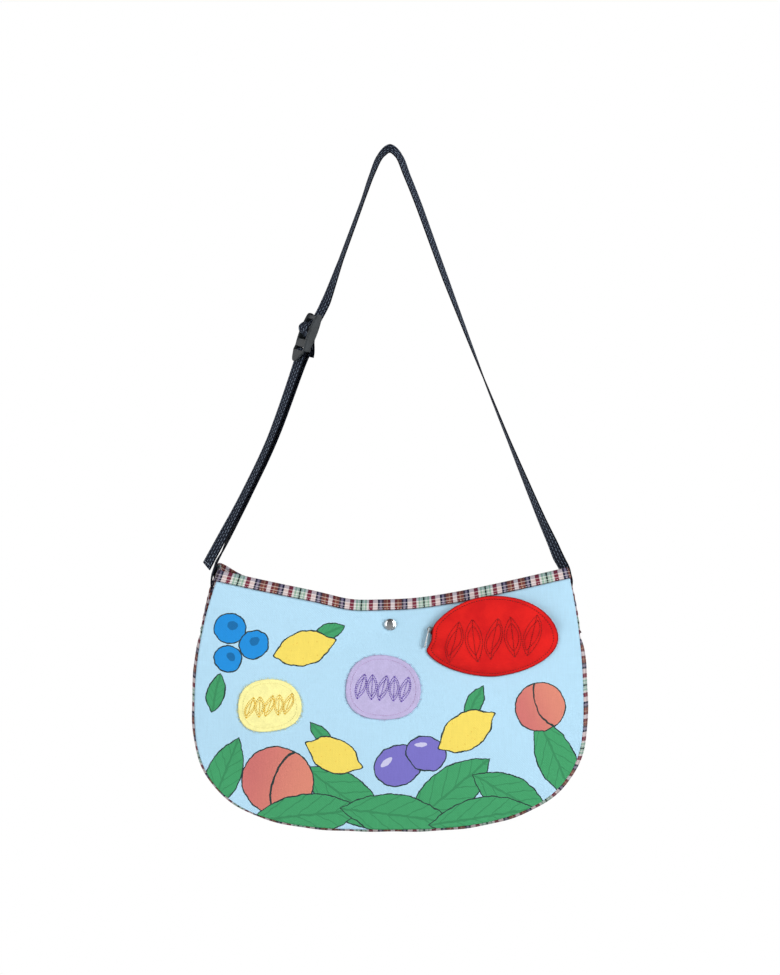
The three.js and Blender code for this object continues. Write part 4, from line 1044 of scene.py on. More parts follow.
turns = np.linspace(0, np.pi, LOOP["rows"])
round_bar = [by_end_bar(-LOOP["radius"] * np.sin(t), -LOOP["radius"] * np.cos(t)) for t in turns]
leads = [by_end_bar(LOOP["lead"], side * (LOOP["radius"] - LOOP["closing"])) for side in (-1, 1)]
round_bar = leads[:1] + round_bar + leads[1:]
long_rows = [sewn_rows(1, SEWN["right_end"]), free_rows(LONG_STRAP, out_of_loop), buckle_rows(THREADING)]
short_rows = [sewn_rows(-1, SEWN["left_end"]), free_rows(LOAD_STRAND, to_left)]
short_rows += [buckle_rows(round_bar), free_rows(TAIL, to_left)]
strap_long, long_strand = webbing("strap_long_webbing", long_rows)
strap_short, short_strand = webbing("strap_short_webbing", short_rows, TAIL_CUT["slant"])
webbing_look = webbing_finish()
for strap, node in ((strap_long, "strap_long"), (strap_short, "strap_short")):
    strap.data.materials.append(webbing_look)
    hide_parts(node)
    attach(strap, "bag")


SEWN_BOX = {"start": 4, "end": 32, "inset": 3}
SEWN_FACES = (0.85, -0.85)
TAIL_HEM = {"back": 3.2, "half": 13, "points": 16}
BOX_STITCH = {"pitch": 2.8, "share": 0.75, "radius": 0.24, "rise": 0.18}
TAIL_STITCH = {"pitch": 2.6, "share": 0.8}


def on_strand(strand, run, across, high):
    """Points on a strap's face at a run along it and a place across it, and the face's outward direction."""
    length = run_length(strand[0])
    place, side, normal = (rows_at(run, length, rows) for rows in strand)
    return place + side * np.asarray(across)[..., None] + normal * high, normal


def box_stitch(strand, start, end, high):
    """A sewn box with a cross in it, and the side of the webbing that it shows on."""
    half = STRAP["width"] / 2 - SEWN_BOX["inset"]
    corners = [(start, -half), (end, -half), (end, half), (start, half), (start, -half), (end, half)]
    corners += [(end, half), (start, half), (end, -half)]
    parts = []
    for (r0, a0), (r1, a1) in zip(corners[:-1], corners[1:]):
        steps = np.linspace(0, 1, 12)
        line, lift = on_strand(strand, mix(r0, r1, steps), mix(a0, a1, steps), high)
        if np.linalg.norm(line[-1] - line[0]) > 1:
            parts.append(along_line(line, lift * np.sign(high), BOX_STITCH))
    return parts


tail_end = run_length(short_strand[0])[-1]
hem_across = np.linspace(-TAIL_HEM["half"], TAIL_HEM["half"], TAIL_HEM["points"])
hem_run = np.full(TAIL_HEM["points"], tail_end - TAIL_HEM["back"])
tail_lines = [on_strand(short_strand, hem_run, hem_across, high) for high in SEWN_FACES]
tail_hem = [along_line(line, lift, TAIL_STITCH) for line, lift in tail_lines]
sewn_parts = [part for strand in (long_strand, short_strand) for high in SEWN_FACES
              for part in box_stitch(strand, SEWN_BOX["start"], SEWN_BOX["end"], high)]
strap_stitches = thread_stitches("strap_stitches", *gathered(sewn_parts + tail_hem), BOX_STITCH)
strap_stitches.data.materials.append(thread_finish("strap_thread", "#c9d4e2"))
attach(strap_stitches, "bag")

# Buckle: one moulded piece of dark grey plastic with softened edges. Two rails with round ends carry three
# flat bars and a round end bar, and a tapered tab with a slot at its root leans out to be lifted by a thumb.
RAIL = {"start": 3.5, "end": 43.3, "half_thick": 1.75, "round": 3.2, "slim_ends": 0.34}
RAIL_SIDES = [{"across": -17.45, "low": -3.4, "high": 6.2}, {"across": 17.45, "low": -6.5, "high": 4.2}]
BARS = [{"start": 5.5, "end": 9.5}, {"start": 18.5, "end": 22.5}, {"start": 31.5, "end": 35.5}]
BAR_HALF = 1.4
BAR_REACH = 17.4
END_BAR_REACH = 15.9
TAB = {"start": 31.5, "long": 24.2, "root_out": 1.8, "slope": np.radians(5), "half_thick": 1.1}
TAB_HALF = {"root": 17, "tip": 6.5, "taper_from": 13}
TAB_SLOT = {"start": 8.0, "end": 12.0, "half": 14.3}
TAB_TIP = {"from": 4, "radius": 4.3, "least": 0.05}
BUCKLE_VOXEL = 0.4


def squared_off(value, power):
    """A cosine or sine raised to 2 / power with its sign kept, which makes a circle a superellipse."""
    return np.sign(value) * np.abs(value) ** (2 / power)


def slab(centres, wide_axis, thick_axis, half_wide, half_thick, power=5):
    """Closed bar: a superellipse of the given half sizes carried along a line of centres."""
    turn = np.linspace(0, 2 * np.pi, 25)[:-1]
    c, s = squared_off(np.cos(turn), power), squared_off(np.sin(turn), power)
    wide = np.broadcast_to(half_wide, len(centres))[:, None, None] * c[:, None] * wide_axis
    thick = np.broadcast_to(half_thick, len(centres))[:, None, None] * s[:, None] * thick_axis
    return centres[:, None] + wide + thick


def in_buckle(along, out, across):
    """Points at places along, out from and across the buckle."""
    along, out, across = np.broadcast_arrays(along, out, across)
    place = buckle_origin + along[..., None] * leg_along + out[..., None] * buckle_out
    return place + across[..., None] * buckle_across


tab_along = leg_along * np.cos(TAB["slope"]) + buckle_out * np.sin(TAB["slope"])
tab_out = buckle_out * np.cos(TAB["slope"]) - leg_along * np.sin(TAB["slope"])
tab_root = in_buckle(np.float64(TAB["start"]), np.float64(TAB["root_out"]), np.float64(0))


def tab_strip(start, end, middle, half_wide):
    """A strip of the tab's plate between two places along it."""
    run = np.linspace(start, end, len(half_wide))
    centres = tab_root + run[:, None] * tab_along + middle * buckle_across
    return slab(centres, buckle_across, tab_out, half_wide, TAB["half_thick"], power=7)


buckle_shells = []
rail_run = np.linspace(RAIL["start"], RAIL["end"], 61)
to_round = RAIL["round"] - np.minimum(rail_run - RAIL["start"], RAIL["end"] - rail_run)
end_cut = RAIL["round"] - np.sqrt(RAIL["round"] ** 2 - to_round.clip(0) ** 2)
slim = 1 - RAIL["slim_ends"] * (1 - np.sin(np.linspace(0, np.pi, len(rail_run))))
for rail in RAIL_SIDES:
    centres = in_buckle(rail_run, (rail["low"] + rail["high"]) / 2, rail["across"])
    half_high = ((rail["high"] - rail["low"]) / 2 - end_cut) * slim
    buckle_shells.append(slab(centres, buckle_out, buckle_across, half_high, RAIL["half_thick"]))
reach = np.linspace(-BAR_REACH, BAR_REACH, 9)
for bar in BARS:
    centres = in_buckle((bar["start"] + bar["end"]) / 2, 0.0, reach)
    half_wide = (bar["end"] - bar["start"]) / 2
    buckle_shells.append(slab(centres, leg_along, buckle_out, half_wide, BAR_HALF, power=4))
end_reach = np.linspace(-END_BAR_REACH, BAR_REACH, 9)
centres = in_buckle(END_BAR["along"], END_BAR["out"], end_reach)
buckle_shells.append(slab(centres, leg_along, buckle_out, END_BAR["radius"], END_BAR["radius"], power=2))
slot_edge = (TAB_HALF["root"] - TAB_SLOT["half"]) / 2
tip_run = np.linspace(TAB_SLOT["end"], TAB["long"], 31)
tip_half = np.interp(tip_run, [TAB_HALF["taper_from"], TAB["long"]], [TAB_HALF["root"], TAB_HALF["tip"]])
past_round = ((tip_run - TAB["long"] + TAB_TIP["from"]) / TAB_TIP["radius"]).clip(0)
tip_half = tip_half * np.sqrt(np.clip(1 - past_round**2, TAB_TIP["least"], 1))
buckle_shells.append(tab_strip(0, TAB_SLOT["start"], 0, np.full(5, TAB_HALF["root"])))
buckle_shells.append(tab_strip(TAB_SLOT["end"], TAB["long"], 0, tip_half))
for side in (-1, 1):
    middle = side * (TAB_HALF["root"] - slot_edge)
    buckle_shells.append(tab_strip(1, TAB_SLOT["end"] + 1, middle, np.full(5, slot_edge)))


def joined_shells(name, shells):
    """One object from closed bars, each a grid of rings with a flat face at both ends, facing outward."""
    points, faces = [], []
    for shell in shells:
        rows, columns = shell.shape[:2]
        first = sum(len(p) for p in points)
        quads = tube_quads(rows, columns)
        flat = shell.reshape(-1, 3)
        a, b, c, d = (flat[quads[:, n]] for n in range(4))
        turned = np.sum(np.cross(c - a, d - b) * ((a + c) / 2 - flat.mean(0))) < 0
        ends = np.stack([np.arange(columns)[::-1], (rows - 1) * columns + np.arange(columns)])
        faces += (first + (quads[:, ::-1] if turned else quads)).tolist()
        faces += (first + (ends[:, ::-1] if turned else ends)).tolist()
        points.append(flat)
    return new_piece(name, np.concatenate(points), faces)


def plastic_finish():
    """Moulded plastic: dark grey, fine grain, paler on its sharp outer edges as a painted highlight, with a
    soft gloss.
    """
    finish = Finish("buckle_plastic", roughness=0.5, gloss=0.25)
    place = finish.place()
    grain = finish.noise(place, 2.6, 3.0)
    cloud = finish.noise(place, 0.12, 2.0)
    painted_edge_highlight = finish.nodes.new("ShaderNodeNewGeometry").outputs["Pointiness"]
    colour = finish.blend(finish.ease(cloud, 0.3, 0.7), dye("#202528"), dye("#2c3237"))
    # Painted highlight: where pointiness marks a sharp outer edge, the grey is mixed up to halfway towards
    # pale grey.
    finish.colour(finish.blend(finish.ease(painted_edge_highlight, 0.5, 0.6, 0.0, 0.5), colour, dye("#6b6e70")))
    finish.relief(grain, 0.12, 0.15)
    return finish.material


buckle = joined_shells("buckle_moulding", buckle_shells)
fused = buckle.modifiers.new("one_moulding", "REMESH")
fused.mode = "VOXEL"
fused.voxel_size = BUCKLE_VOXEL * MILLIMETRE
fused.use_smooth_shade = True
softened = buckle.modifiers.new("soft_edges", "SMOOTH")
softened.factor = 0.5
softened.iterations = 4
buckle.data.materials.append(plastic_finish())
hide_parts("buckle")
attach(buckle, "bag")

# Press stud: a nickel cap on each wall, a low dome with a rolled rim, pressed through the cloth onto a hidden
# stud that holds the mouth shut.
SNAP = {"x": 0.6, "z": -479, "lift": 2}
CAP_PROFILE = [
    {"radius": 0.0, "high": 2.1}, {"radius": 1.6, "high": 2.06}, {"radius": 3.0, "high": 1.9},
    {"radius": 4.1, "high": 1.58}, {"radius": 4.8, "high": 1.16}, {"radius": 5.05, "high": 0.86},
    {"radius": 5.3, "high": 0.84}, {"radius": 5.7, "high": 0.78}, {"radius": 5.95, "high": 0.5},
    {"radius": 5.95, "high": 0.2}, {"radius": 5.7, "high": -0.1}, {"radius": 5.5, "high": -0.7},
    {"radius": 5.2, "high": -1.2}, {"radius": 4.2, "high": -1.4},
]


def wall_normal(wall, x, z):
    """Outward direction of a wall, from its slope to each side."""
    slope_x = (wall_depth(x + 1.0, z, wall) - wall_depth(x - 1.0, z, wall)) / 2
    slope_z = (wall_depth(x, z + 1.0, wall) - wall_depth(x, z - 1.0, wall)) / 2
    normal = np.stack(np.broadcast_arrays(-slope_x, wall["facing"] + 0 * slope_x, -slope_z), -1)
    return unit(normal)


def off_wall(wall, x, z, high):
    """Points held off a wall's outer face along its outward direction."""
    x, z, high = np.broadcast_arrays(np.asarray(x, float), np.asarray(z, float), np.asarray(high, float))
    face = np.stack([x, wall["facing"] * (wall_depth(x, z, wall) + CLOTH / 2), z], -1)
    return face + wall_normal(wall, x, z) * high[..., None]


def metal_finish(name, code, roughness):
    """Plated metal: bright, with faint clouding and fine scratches."""
    finish = Finish(name, roughness=roughness, metallic=1.0)
    place = finish.place()
    cloud = finish.noise(place, 0.5, 3.0)
    finish.colour(finish.blend(finish.ease(cloud, 0.3, 0.7, 0.0, 0.25), dye(code), dye("#6d7074")))
    scratches = finish.noise(finish.vector("MULTIPLY", place, (9, 9, 0.6)), 1.0, 2.0)
    finish.relief(scratches, 0.06, 0.1)
    return finish.material


def stud_cap(name, wall):
    """The cap's profile turned about the level axis on which both caps clamp the cloth."""
    x, z = np.float64(SNAP["x"]), np.float64(SNAP["z"])
    normal = np.array([0.0, wall["facing"], 0.0])
    side = np.cross(normal, [0, 0, 1.0])
    up = np.cross(side, normal)
    foot = off_wall(wall, x, z, SNAP["lift"])
    turn = np.linspace(0, 2 * np.pi, 49)[:-1]
    ring = side * np.cos(turn)[:, None] + up * np.sin(turn)[:, None]
    radius = np.array([row["radius"] for row in CAP_PROFILE])
    high = np.array([row["high"] for row in CAP_PROFILE])
    points = foot + radius[:, None, None] * ring + high[:, None, None] * normal
    return skin(name, points[1:], round_section=True, caps="both")


nickel = metal_finish("nickel", "#d4d6d8", 0.2)
# Painted shade: a darker copy of the same nickel, used for the zip slider and the hidden stud.
dull_nickel_painted_shade = metal_finish("dull_nickel_painted_shade", "#a2a4a6", 0.34)
for name, wall, node in (("stud_cap_front", FRONT, "snap_cap"), ("stud_cap_back", BACK, "snap_rear_cap")):
    cap = stud_cap(name, wall)
    cap.data.materials.append(nickel)
    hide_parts(node)
    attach(cap, "bag")
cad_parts["snap_stud"].data.materials.clear()
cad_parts["snap_stud"].data.materials.append(dull_nickel_painted_shade)

# Patches: two small pieces of brushed cloth with raw, slightly frayed edges, sewn on the front by one row of
# stitches inside the edge and embroidered with a row of leaf outlines.
PATCH = {"thick": 1.0, "lift": 0.35, "stitch_in": 4.5, "stitch_clear": 0.05, "columns": 120, "rings": 24}
PATCH_CURL = {"high": 0.25, "count": 9}
PATCHES = [
    {
        "name": "patch_oval", "x": -120.5, "z": -558.8, "half": (32.5, 26.5), "turn": 6, "wobble": 0.025,
        "dye": "#fcf5a6", "thread": "#ffd040", "sewn": "#fbf0a0", "slot": "cream_felt",
        "leaf": (4.6, 10.5), "pitch": 9.6, "leaves": 5, "lean": 2.2, "swing": 1.6,
    },
    {
        "name": "patch_round", "x": -7, "z": -541.3, "half": (38.2, 32.2), "turn": -4, "wobble": 0.02,
        "dye": "#c0b6de", "thread": "#7a5fc4", "sewn": "#c59ccb", "slot": "lilac_felt",
        "leaf": (5.2, 12.5), "pitch": 11.0, "leaves": 5, "lean": 2.2, "swing": 1.6,
    },
]
PATCH_STITCH = {"pitch": 2.5, "share": 0.7, "radius": 0.2, "rise": 0.16}
LEAF_STITCH = {"pitch": 2.0, "share": 0.86, "radius": 0.42, "rise": 0.24}
LEAF_SHARES = (1.0, 0.72)
LEAF_RIB = 0.95
FRAY = {"count": 150, "long": 2.6, "shortest": 0.2, "radius": 0.12, "rise": 0.3, "from": 0.975, "sway": 0.03}
FRAY_DOWN = {"start": 0.5, "end": 0.9}
draws = np.random.default_rng(7)


def turned_place(row, a, b):
    """Place on the front wall of a point in the axes of a piece sewn there, turned about its middle."""
    turn = np.radians(row["turn"])
    return row["x"] + a * np.cos(turn) - b * np.sin(turn), row["z"] + a * np.sin(turn) + b * np.cos(turn)


def patch_rim(row, angle, share):
    """Place on the front wall at an angle from the patch's middle, at a share of its wavy radius."""
    reach = share * (1 + row["wobble"] * np.cos(3 * angle + 1) - row["wobble"] * np.cos(4 * angle))
    return turned_place(row, row["half"][0] * np.cos(angle) * reach, row["half"][1] * np.sin(angle) * reach)


def felt_finish(name, code):
    """Brushed cloth: a soft nap, small flecks and a fine weave below it."""
    finish = Finish(name, roughness=0.95, sheen=0.2)
    place = finish.place()
    nap = finish.noise(place, 0.9, 4.0)
    fleck = finish.noise(place, 0.16, 2.0)
    base = dye(code)
    deep = deeper(base, 0.86)
    shade = finish.math("MULTIPLY", finish.math("ADD", nap, fleck), 0.5)
    finish.colour(finish.blend(finish.ease(shade, 0.36, 0.64, 0.0, 0.75), base, deep))
    finish.relief(finish.math("ADD", nap, finish.weave(place, 0.7)), 0.25, 0.2)
    return finish.material


def leaf_outline(middle, half, lean, share):
    """Closed outline of a leaf standing on its tip: two parabolas, leaning to one side."""
    v = np.concatenate([np.linspace(-1, 1, 24), np.linspace(1, -1, 24)[1:]])
    side = np.concatenate([np.ones(24), -np.ones(23)])
    a = share * half[0] * side * (1 - v * v) + lean * v
    b = share * half[1] * v
    return middle[0] + a, middle[1] + b


def embroidery(row, on_cloth):
    """Stitches of a row of leaves on a cloth whose places are given by a function. Each leaf is a doubled
    outline with a rib, and the leaves lean more and less in turn."""
    order = np.arange(row["leaves"])
    shift = (order - (row["leaves"] - 1) / 2) * row["pitch"]
    middle_x = row["x"] + shift
    middle_z = row["z"] + shift * np.tan(np.radians(row["turn"]))
    leans = row["lean"] + row["swing"] * (-1.0) ** order
    parts = []
    for x, z, lean in zip(middle_x, middle_z, leans):
        outlines = [leaf_outline((x, z), row["leaf"], lean, share) for share in LEAF_SHARES]
        v = np.linspace(-LEAF_RIB, LEAF_RIB, 14)
        outlines.append((x + lean * v, z + row["leaf"][1] * v))
        for a, b in outlines:
            line, lift = on_cloth(a, b)
            parts.append(along_line(line, lift, LEAF_STITCH))
    return gathered(parts)


for row in PATCHES:
    turns = np.linspace(0, 2 * np.pi, PATCH["columns"] + 1)[:-1]
    rings = np.linspace(0.02, 1, PATCH["rings"]) ** 0.8
    angle, share = np.meshgrid(turns, rings, indexing="ij")
    curl = PATCH_CURL["high"] * np.sin(PATCH_CURL["count"] * angle + 2 * np.sin(2 * angle)) * share**10
    x, z = patch_rim(row, angle, share)
    points = off_wall(FRONT, x, z, PATCH["lift"] + PATCH["thick"] / 2 + curl).transpose(1, 0, 2)
    patch = skin(row["name"] + "_cloth", points, round_section=True, caps="first", outward=(0, -1, 0))
    thicken(patch, PATCH["thick"])
    patch.data.materials.append(felt_finish(row["name"] + "_felt", row["dye"]))
    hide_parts(row["name"])
    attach(patch, "bag")
    top = PATCH["lift"] + PATCH["thick"] + PATCH["stitch_clear"]

    def on_patch(x, z, high=top):
        """Points held off the front wall at a height, and the wall's outward direction there."""
        return off_wall(FRONT, x, z, high), wall_normal(FRONT, np.asarray(x, float), np.asarray(z, float))

    ring = np.linspace(0, 2 * np.pi, 181)
    inset = 1 - PATCH["stitch_in"] / np.mean(row["half"])
    sewn_line = along_line(*on_patch(*patch_rim(row, ring, inset)), PATCH_STITCH)
    sewn = thread_stitches(row["name"] + "_seam", *sewn_line, PATCH_STITCH)
    sewn.data.materials.append(thread_finish(row["name"] + "_seam_thread", row["sewn"]))
    drawn = thread_stitches(row["name"] + "_leaves", *embroidery(row, on_patch), LEAF_STITCH)
    drawn.data.materials.append(thread_finish(row["name"] + "_leaf_thread", row["thread"]))
    fray_angle = draws.uniform(0, 2 * np.pi, FRAY["count"])
    fray_long = 1 + draws.uniform(FRAY["shortest"], 1.0, FRAY["count"]) * FRAY["long"] / np.mean(row["half"])
    starts, lifts = on_patch(*patch_rim(row, fray_angle, FRAY["from"]), top - FRAY_DOWN["start"])
    fray_end = fray_angle + draws.normal(0, FRAY["sway"], FRAY["count"])
    ends, _ = on_patch(*patch_rim(row, fray_end, fray_long), top - FRAY_DOWN["end"])
    fray = thread_stitches(row["name"] + "_fray", starts, ends, lifts, FRAY)
    fray.data.materials.append(thread_finish(row["name"] + "_fray_thread", row["dye"]))
    for trim in (sewn, drawn, fray):
        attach(trim, "bag")

# Zip pouch: a leaf-shaped face of red canvas, crowned over a small pocket. Its lower edge is turned under and
# sewn to the front wall, and a low upright wall with the zip joins its upper edge to the front.
POUCH = {
    "x": 102.3, "z": -496.7, "half_long": 66, "turn": 6.3, "crown": 10.5, "cloth": 1.3, "lift": 0.4,
    "stitch_in": 3.0, "reach": 44, "columns": 200, "rings": 48,
}
POUCH_HIGH = {"upper": 46, "lower": 32.8}
POUCH_POWER = {"lower_left": 1.6, "upper_left": 1.8, "right": 2.0}
ZIP = {"wall": 7.4, "inset": 1.4, "top_gap": 0.6, "gap": 0.4, "start": 25, "end": 158}
WALL_RISE = {"from": 0.02, "to": 0.36}
ZIP_GAPE = {"in": 4.6, "from": -2, "full": 8, "until": 9, "end": 25}
PAINTED_RIM_SHADE = {"from": 1.3, "full": 0.2, "share": 0.6, "dye": "#5c0a14"}
POUCH_SEAM = {"groove": 0.35, "groove_half": 0.9, "roll": 0.35, "roll_in": 1.2, "roll_half": 1.2}
POUCH_PUCKER = {"high": 0.22, "count": 46, "reach": 7}
POUCH_SLACK = 0.7
HEM_STITCH = {"pitch": 2.6, "share": 0.62, "radius": 0.42, "rise": 0.16}


def pouch_edge(angle):
    """Outline in the pouch's own axes: superellipse quarters, pointed at the lower left."""
    c, s = np.cos(angle), np.sin(angle)
    high = np.where(s < 0, POUCH_HIGH["lower"], POUCH_HIGH["upper"])
    left = np.where(s < 0, POUCH_POWER["lower_left"], POUCH_POWER["upper_left"])
    power = np.where(c < 0, left, POUCH_POWER["right"])
    return POUCH["half_long"] * squared_off(c, power), high * squared_off(s, power)


def face_edge(angle):
    """The face's own edge: the outline, drawn in at the left end where the zip's end stands open."""
    a, b = pouch_edge(angle)
    gape = smooth_step(ZIP_GAPE["from"], ZIP_GAPE["full"], b)
    gape = gape - smooth_step(ZIP_GAPE["until"], ZIP_GAPE["end"], b)
    return a + np.where(a < 0, ZIP_GAPE["in"] * gape, 0), b


def pouch_rim(angle):
    """Height of the face's edge: low along the sewn edge, up on the zip wall along the top."""
    return mix(POUCH["lift"], ZIP["wall"], smooth_step(WALL_RISE["from"], WALL_RISE["to"], np.sin(angle)))


def pouch_height(angle, share):
    """Crown in the middle falling to the rim, with a groove along the stitches and puckers outside them."""
    rim = pouch_rim(angle)
    from_edge = (1 - share) * POUCH["reach"]
    groove = -POUCH_SEAM["groove"] * bell(from_edge, POUCH["stitch_in"], POUCH_SEAM["groove_half"])
    roll = POUCH_SEAM["roll"] * bell(from_edge, POUCH_SEAM["roll_in"], POUCH_SEAM["roll_half"])
    near_edge = np.exp(-from_edge / POUCH_PUCKER["reach"]) * (1 - np.exp(-from_edge))
    pucker = POUCH_PUCKER["high"] * np.sin(POUCH_PUCKER["count"] * angle + 2 * np.sin(5 * angle)) * near_edge
    slack = POUCH_SLACK * np.sin(3 * angle + 0.7) * share**2 * (1 - share) * 3
    return mix(POUCH["crown"], rim, share**5) + groove + roll + pucker + slack


def on_pouch(a, b, high):
    """Points above the front wall at places in the pouch's own axes."""
    x, z = turned_place(POUCH, a, b)
    return off_wall(FRONT, x, z, high)


def red_canvas_finish():
    """Red cotton canvas: plain weave, slightly uneven dye, painted shade between threads and a painted dark
    rim of shade along the face's outer edge.
    """
    finish = Finish("red_canvas", roughness=0.95)
    place = finish.place()
    cloud = finish.noise(place, 0.05, 3.0)
    colour = finish.blend(finish.ease(cloud, 0.3, 0.7), dye("#e8231f"), dye("#d41b1c"))
    threads = finish.weave(place, 0.7)
    # Painted shade: the red is darkened with the weave's thread pattern.
    colour = finish.blend(finish.ease(threads, -1.0, 1.0, 0.0, 0.22), colour, dye("#a01114"))
    from_middle = finish.split(finish.run())[1]
    # Painted shade: a dark red rim over the face's outermost millimetre or so, found by the distance from the
    # middle in the face's map.
    rim_shade_from, rim_shade_full = POUCH["reach"] - PAINTED_RIM_SHADE["from"], POUCH["reach"] - PAINTED_RIM_SHADE["full"]
    edge = finish.ease(from_middle, rim_shade_from, rim_shade_full, 0.0, PAINTED_RIM_SHADE["share"])
    finish.colour(finish.blend(edge, colour, dye(PAINTED_RIM_SHADE["dye"])))
    finish.relief(threads, 0.35, 0.22)
    return finish.material


face_turns = np.linspace(0, 2 * np.pi, POUCH["columns"] + 1)
face_rings = np.linspace(0.01, 1, POUCH["rings"]) ** 0.75
face_angle, face_share = np.meshgrid(face_turns[:-1], face_rings, indexing="ij")
face_a, face_b = face_edge(face_angle)
face_high = pouch_height(face_angle, face_share) + POUCH["cloth"] / 2
face_points = on_pouch(face_a * face_share, face_b * face_share, face_high).transpose(1, 0, 2)
face_map = np.stack(np.meshgrid(face_turns, face_rings), -1) * POUCH["reach"]
pouch = skin("pouch_face", face_points, face_map, round_section=True, caps="first", outward=(0, -1, 0))
thicken(pouch, POUCH["cloth"])
pouch.data.materials.append(red_canvas_finish())
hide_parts("pouch_front")
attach(pouch, "bag")


def face_lift(angle, share, extra=0.08):
    """Points on the pouch's outer face and the direction off the front wall there."""
    a, b = face_edge(angle)
    x, z = turned_place(POUCH, a * share, b * share)
    high = pouch_height(angle, share) + POUCH["cloth"] + extra
    return off_wall(FRONT, x, z, high), wall_normal(FRONT, x, z)


hem_angle = np.linspace(0, 2 * np.pi, 361)
hem_share = 1 - POUCH["stitch_in"] / POUCH["reach"]
hem_stitches = along_line(*face_lift(hem_angle, hem_share), HEM_STITCH)
pouch_hem = thread_stitches("pouch_stitches", *hem_stitches, HEM_STITCH)
pouch_hem.data.materials.append(thread_finish("pouch_thread", "#5e0a0e"))
POUCH_LEAVES = {
    "x": 2.0, "z": 3.0, "turn": 0, "leaf": (8.5, 20.0), "pitch": 19.5, "leaves": 5, "lean": 4.0, "swing": 3.5,
    "radius": 0.3, "rise": 0.2,
}


def on_face(a, b):
    """Points on the pouch's face at places in its own axes, by the angle and share of radius there."""
    angle = np.arctan2(b / np.where(b < 0, POUCH_HIGH["lower"], POUCH_HIGH["upper"]), a / POUCH["half_long"])
    edge_a, edge_b = face_edge(angle)
    share = np.hypot(a, b) / np.hypot(edge_a, edge_b)
    return face_lift(angle, share)


pouch_leaves = thread_stitches("pouch_leaves", *embroidery(POUCH_LEAVES, on_face), POUCH_LEAVES)
pouch_leaves.data.materials.append(thread_finish("pouch_leaf_thread", "#7d1114"))
for trim in (pouch_hem, pouch_leaves):
    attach(trim, "bag")

# Zip: two strips of dark red tape edge to edge in the pouch's upright wall, with a row of small teeth where
# they meet. Its slider stays at the left end, and the pull swings on the slider.
TEETH = {"pitch": 1.7, "long": 1.0, "reach": 1.5, "proud": 0.75, "end_gap": 2, "foot": 0.15, "slant": 0.25}
TAPE = {"thick": 0.8, "bow": 0.25, "groove": 0.3, "groove_half": 0.09, "rib": 5.2}
HARDWARE_EDGE = 0.16


def zip_point(angle, outwards, high):
    """Points on the zip wall: the pouch's outline moved in or out square to itself, at a height off the
    front wall."""
    ahead, behind = pouch_edge(angle + 0.01), pouch_edge(angle - 0.01)
    run = np.stack([ahead[0] - behind[0], ahead[1] - behind[1]], -1)
    run = unit(run)
    a, b = pouch_edge(angle)
    push = outwards - ZIP["inset"]
    return on_pouch(a + run[..., 1] * push, b - run[..., 0] * push, high)


def tape_finish():
    """Woven zip tape: fine upright ribs, with painted shade in the grooves between them."""
    finish = Finish("zip_tape_red", roughness=0.8, sheen=0.1)
    along = finish.split(finish.run())[0]
    rib = finish.math("SINE", finish.math("MULTIPLY", along, TAPE["rib"]))
    # Painted shade: the tape's red is darkened along the rib pattern to stand for the grooves between ribs.
    finish.colour(finish.blend(finish.ease(rib, -1.0, 1.0, 0.0, 0.7), dye("#9c1719"), dye("#5d0b0e")))
    finish.relief(rib, 0.4, 0.2)
    return finish.material


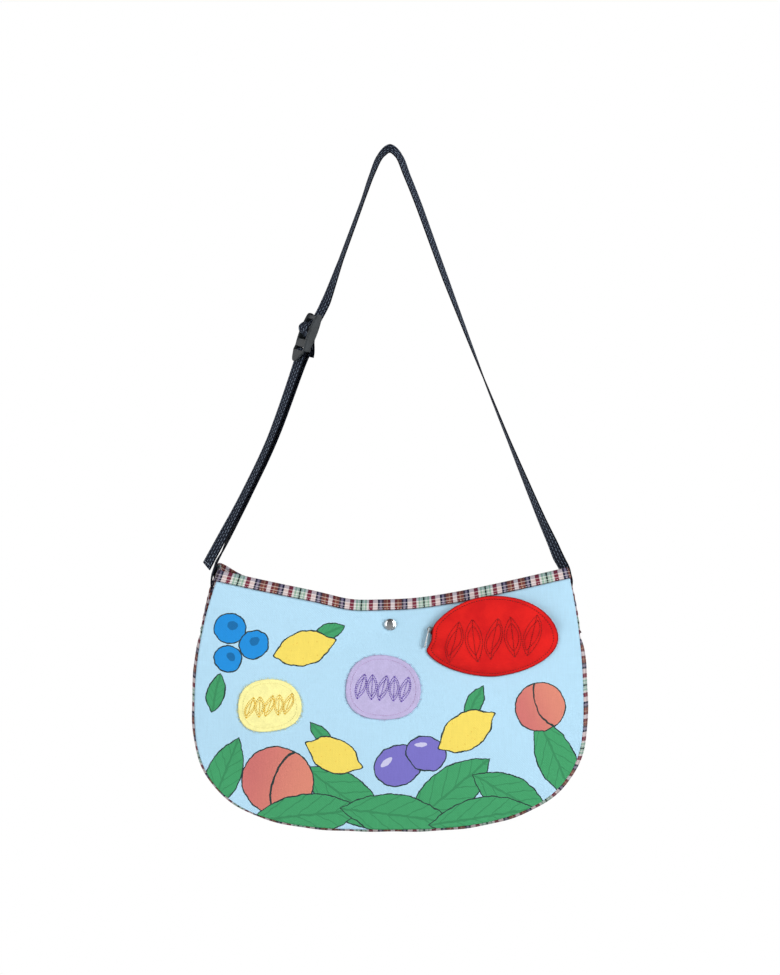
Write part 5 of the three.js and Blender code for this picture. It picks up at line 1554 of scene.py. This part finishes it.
zip_angle = np.radians(np.linspace(ZIP["start"], ZIP["end"], 150))
zip_top = pouch_rim(zip_angle) - ZIP["top_gap"]
rise = np.linspace(0, 1, 13)
tape_high = mix(ZIP["gap"], zip_top[:, None], rise)
tape_bow = TAPE["bow"] * np.sin(np.pi * rise)
tape_bow = tape_bow - TAPE["groove"] * bell(rise, 0.5, TAPE["groove_half"])
tape_angle = np.repeat(zip_angle[:, None], len(rise), 1)
tape_points = zip_point(tape_angle, np.broadcast_to(tape_bow, tape_high.shape), tape_high)
tape_run = run_length(tape_points[:, len(rise) // 2])
tape_uv = np.stack(np.broadcast_arrays(tape_run[:, None], tape_high), -1)
tape = skin("zip_tape", tape_points, tape_uv)
thicken(tape, TAPE["thick"])
tape.data.materials.append(tape_finish())
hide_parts("pouch_zip")
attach(tape, "bag")

tooth_at = np.arange(TEETH["end_gap"], tape_run[-1] - TEETH["end_gap"], TEETH["pitch"])
tooth_angle = np.interp(tooth_at, tape_run, zip_angle)
tooth_middle = np.interp(tooth_at, tape_run, mix(ZIP["gap"], zip_top, 0.5))
tooth_up = zip_point(tooth_angle, 0.0, tooth_middle + 0.5) - zip_point(tooth_angle, 0.0, tooth_middle - 0.5)
tooth_out = zip_point(tooth_angle, 0.5, tooth_middle) - zip_point(tooth_angle, -0.5, tooth_middle)
tooth_side = np.cross(tooth_up, tooth_out)
slant = np.where(np.arange(len(tooth_at)) % 2, TEETH["slant"], -TEETH["slant"])
tooth_foot = zip_point(tooth_angle, TEETH["foot"], tooth_middle + slant)
turn = np.linspace(0, 2 * np.pi, 9)[:-1]
tooth_rings = [(0.0, 1.0), (0.75, 1.0), (1.0, 0.6)]
tooth_shells = np.stack(
    [tooth_foot[:, None] + tooth_out[:, None] * (TEETH["proud"] * out)
     + scale * (tooth_side[:, None] * np.cos(turn)[:, None] * TEETH["long"] / 2
                + tooth_up[:, None] * np.sin(turn)[:, None] * TEETH["reach"] / 2)
     for out, scale in tooth_rings], 1)
teeth = joined_shells("zip_teeth", list(tooth_shells))
teeth.data.materials.append(metal_finish("tooth_metal", "#a88f5e", 0.35))
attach(teeth, "bag")
# Painted light: the zip pull's nickel is painted near white, brighter than the caps' nickel.
satin_nickel_painted_light = metal_finish("satin_nickel_painted_light", "#fbfbfb", 0.5)
for node, finish in (("zip_slider", dull_nickel_painted_shade), ("zip_pull", satin_nickel_painted_light)):
    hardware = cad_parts[node]
    hardware.data.materials.clear()
    hardware.data.materials.append(finish)
    weld = hardware.modifiers.new("one_skin", "WELD")
    weld.merge_threshold = 1e-6
    edges = hardware.modifiers.new("soft_edges", "BEVEL")
    edges.width = HARDWARE_EDGE * MILLIMETRE
    edges.segments = 2
    edges.limit_method = "ANGLE"
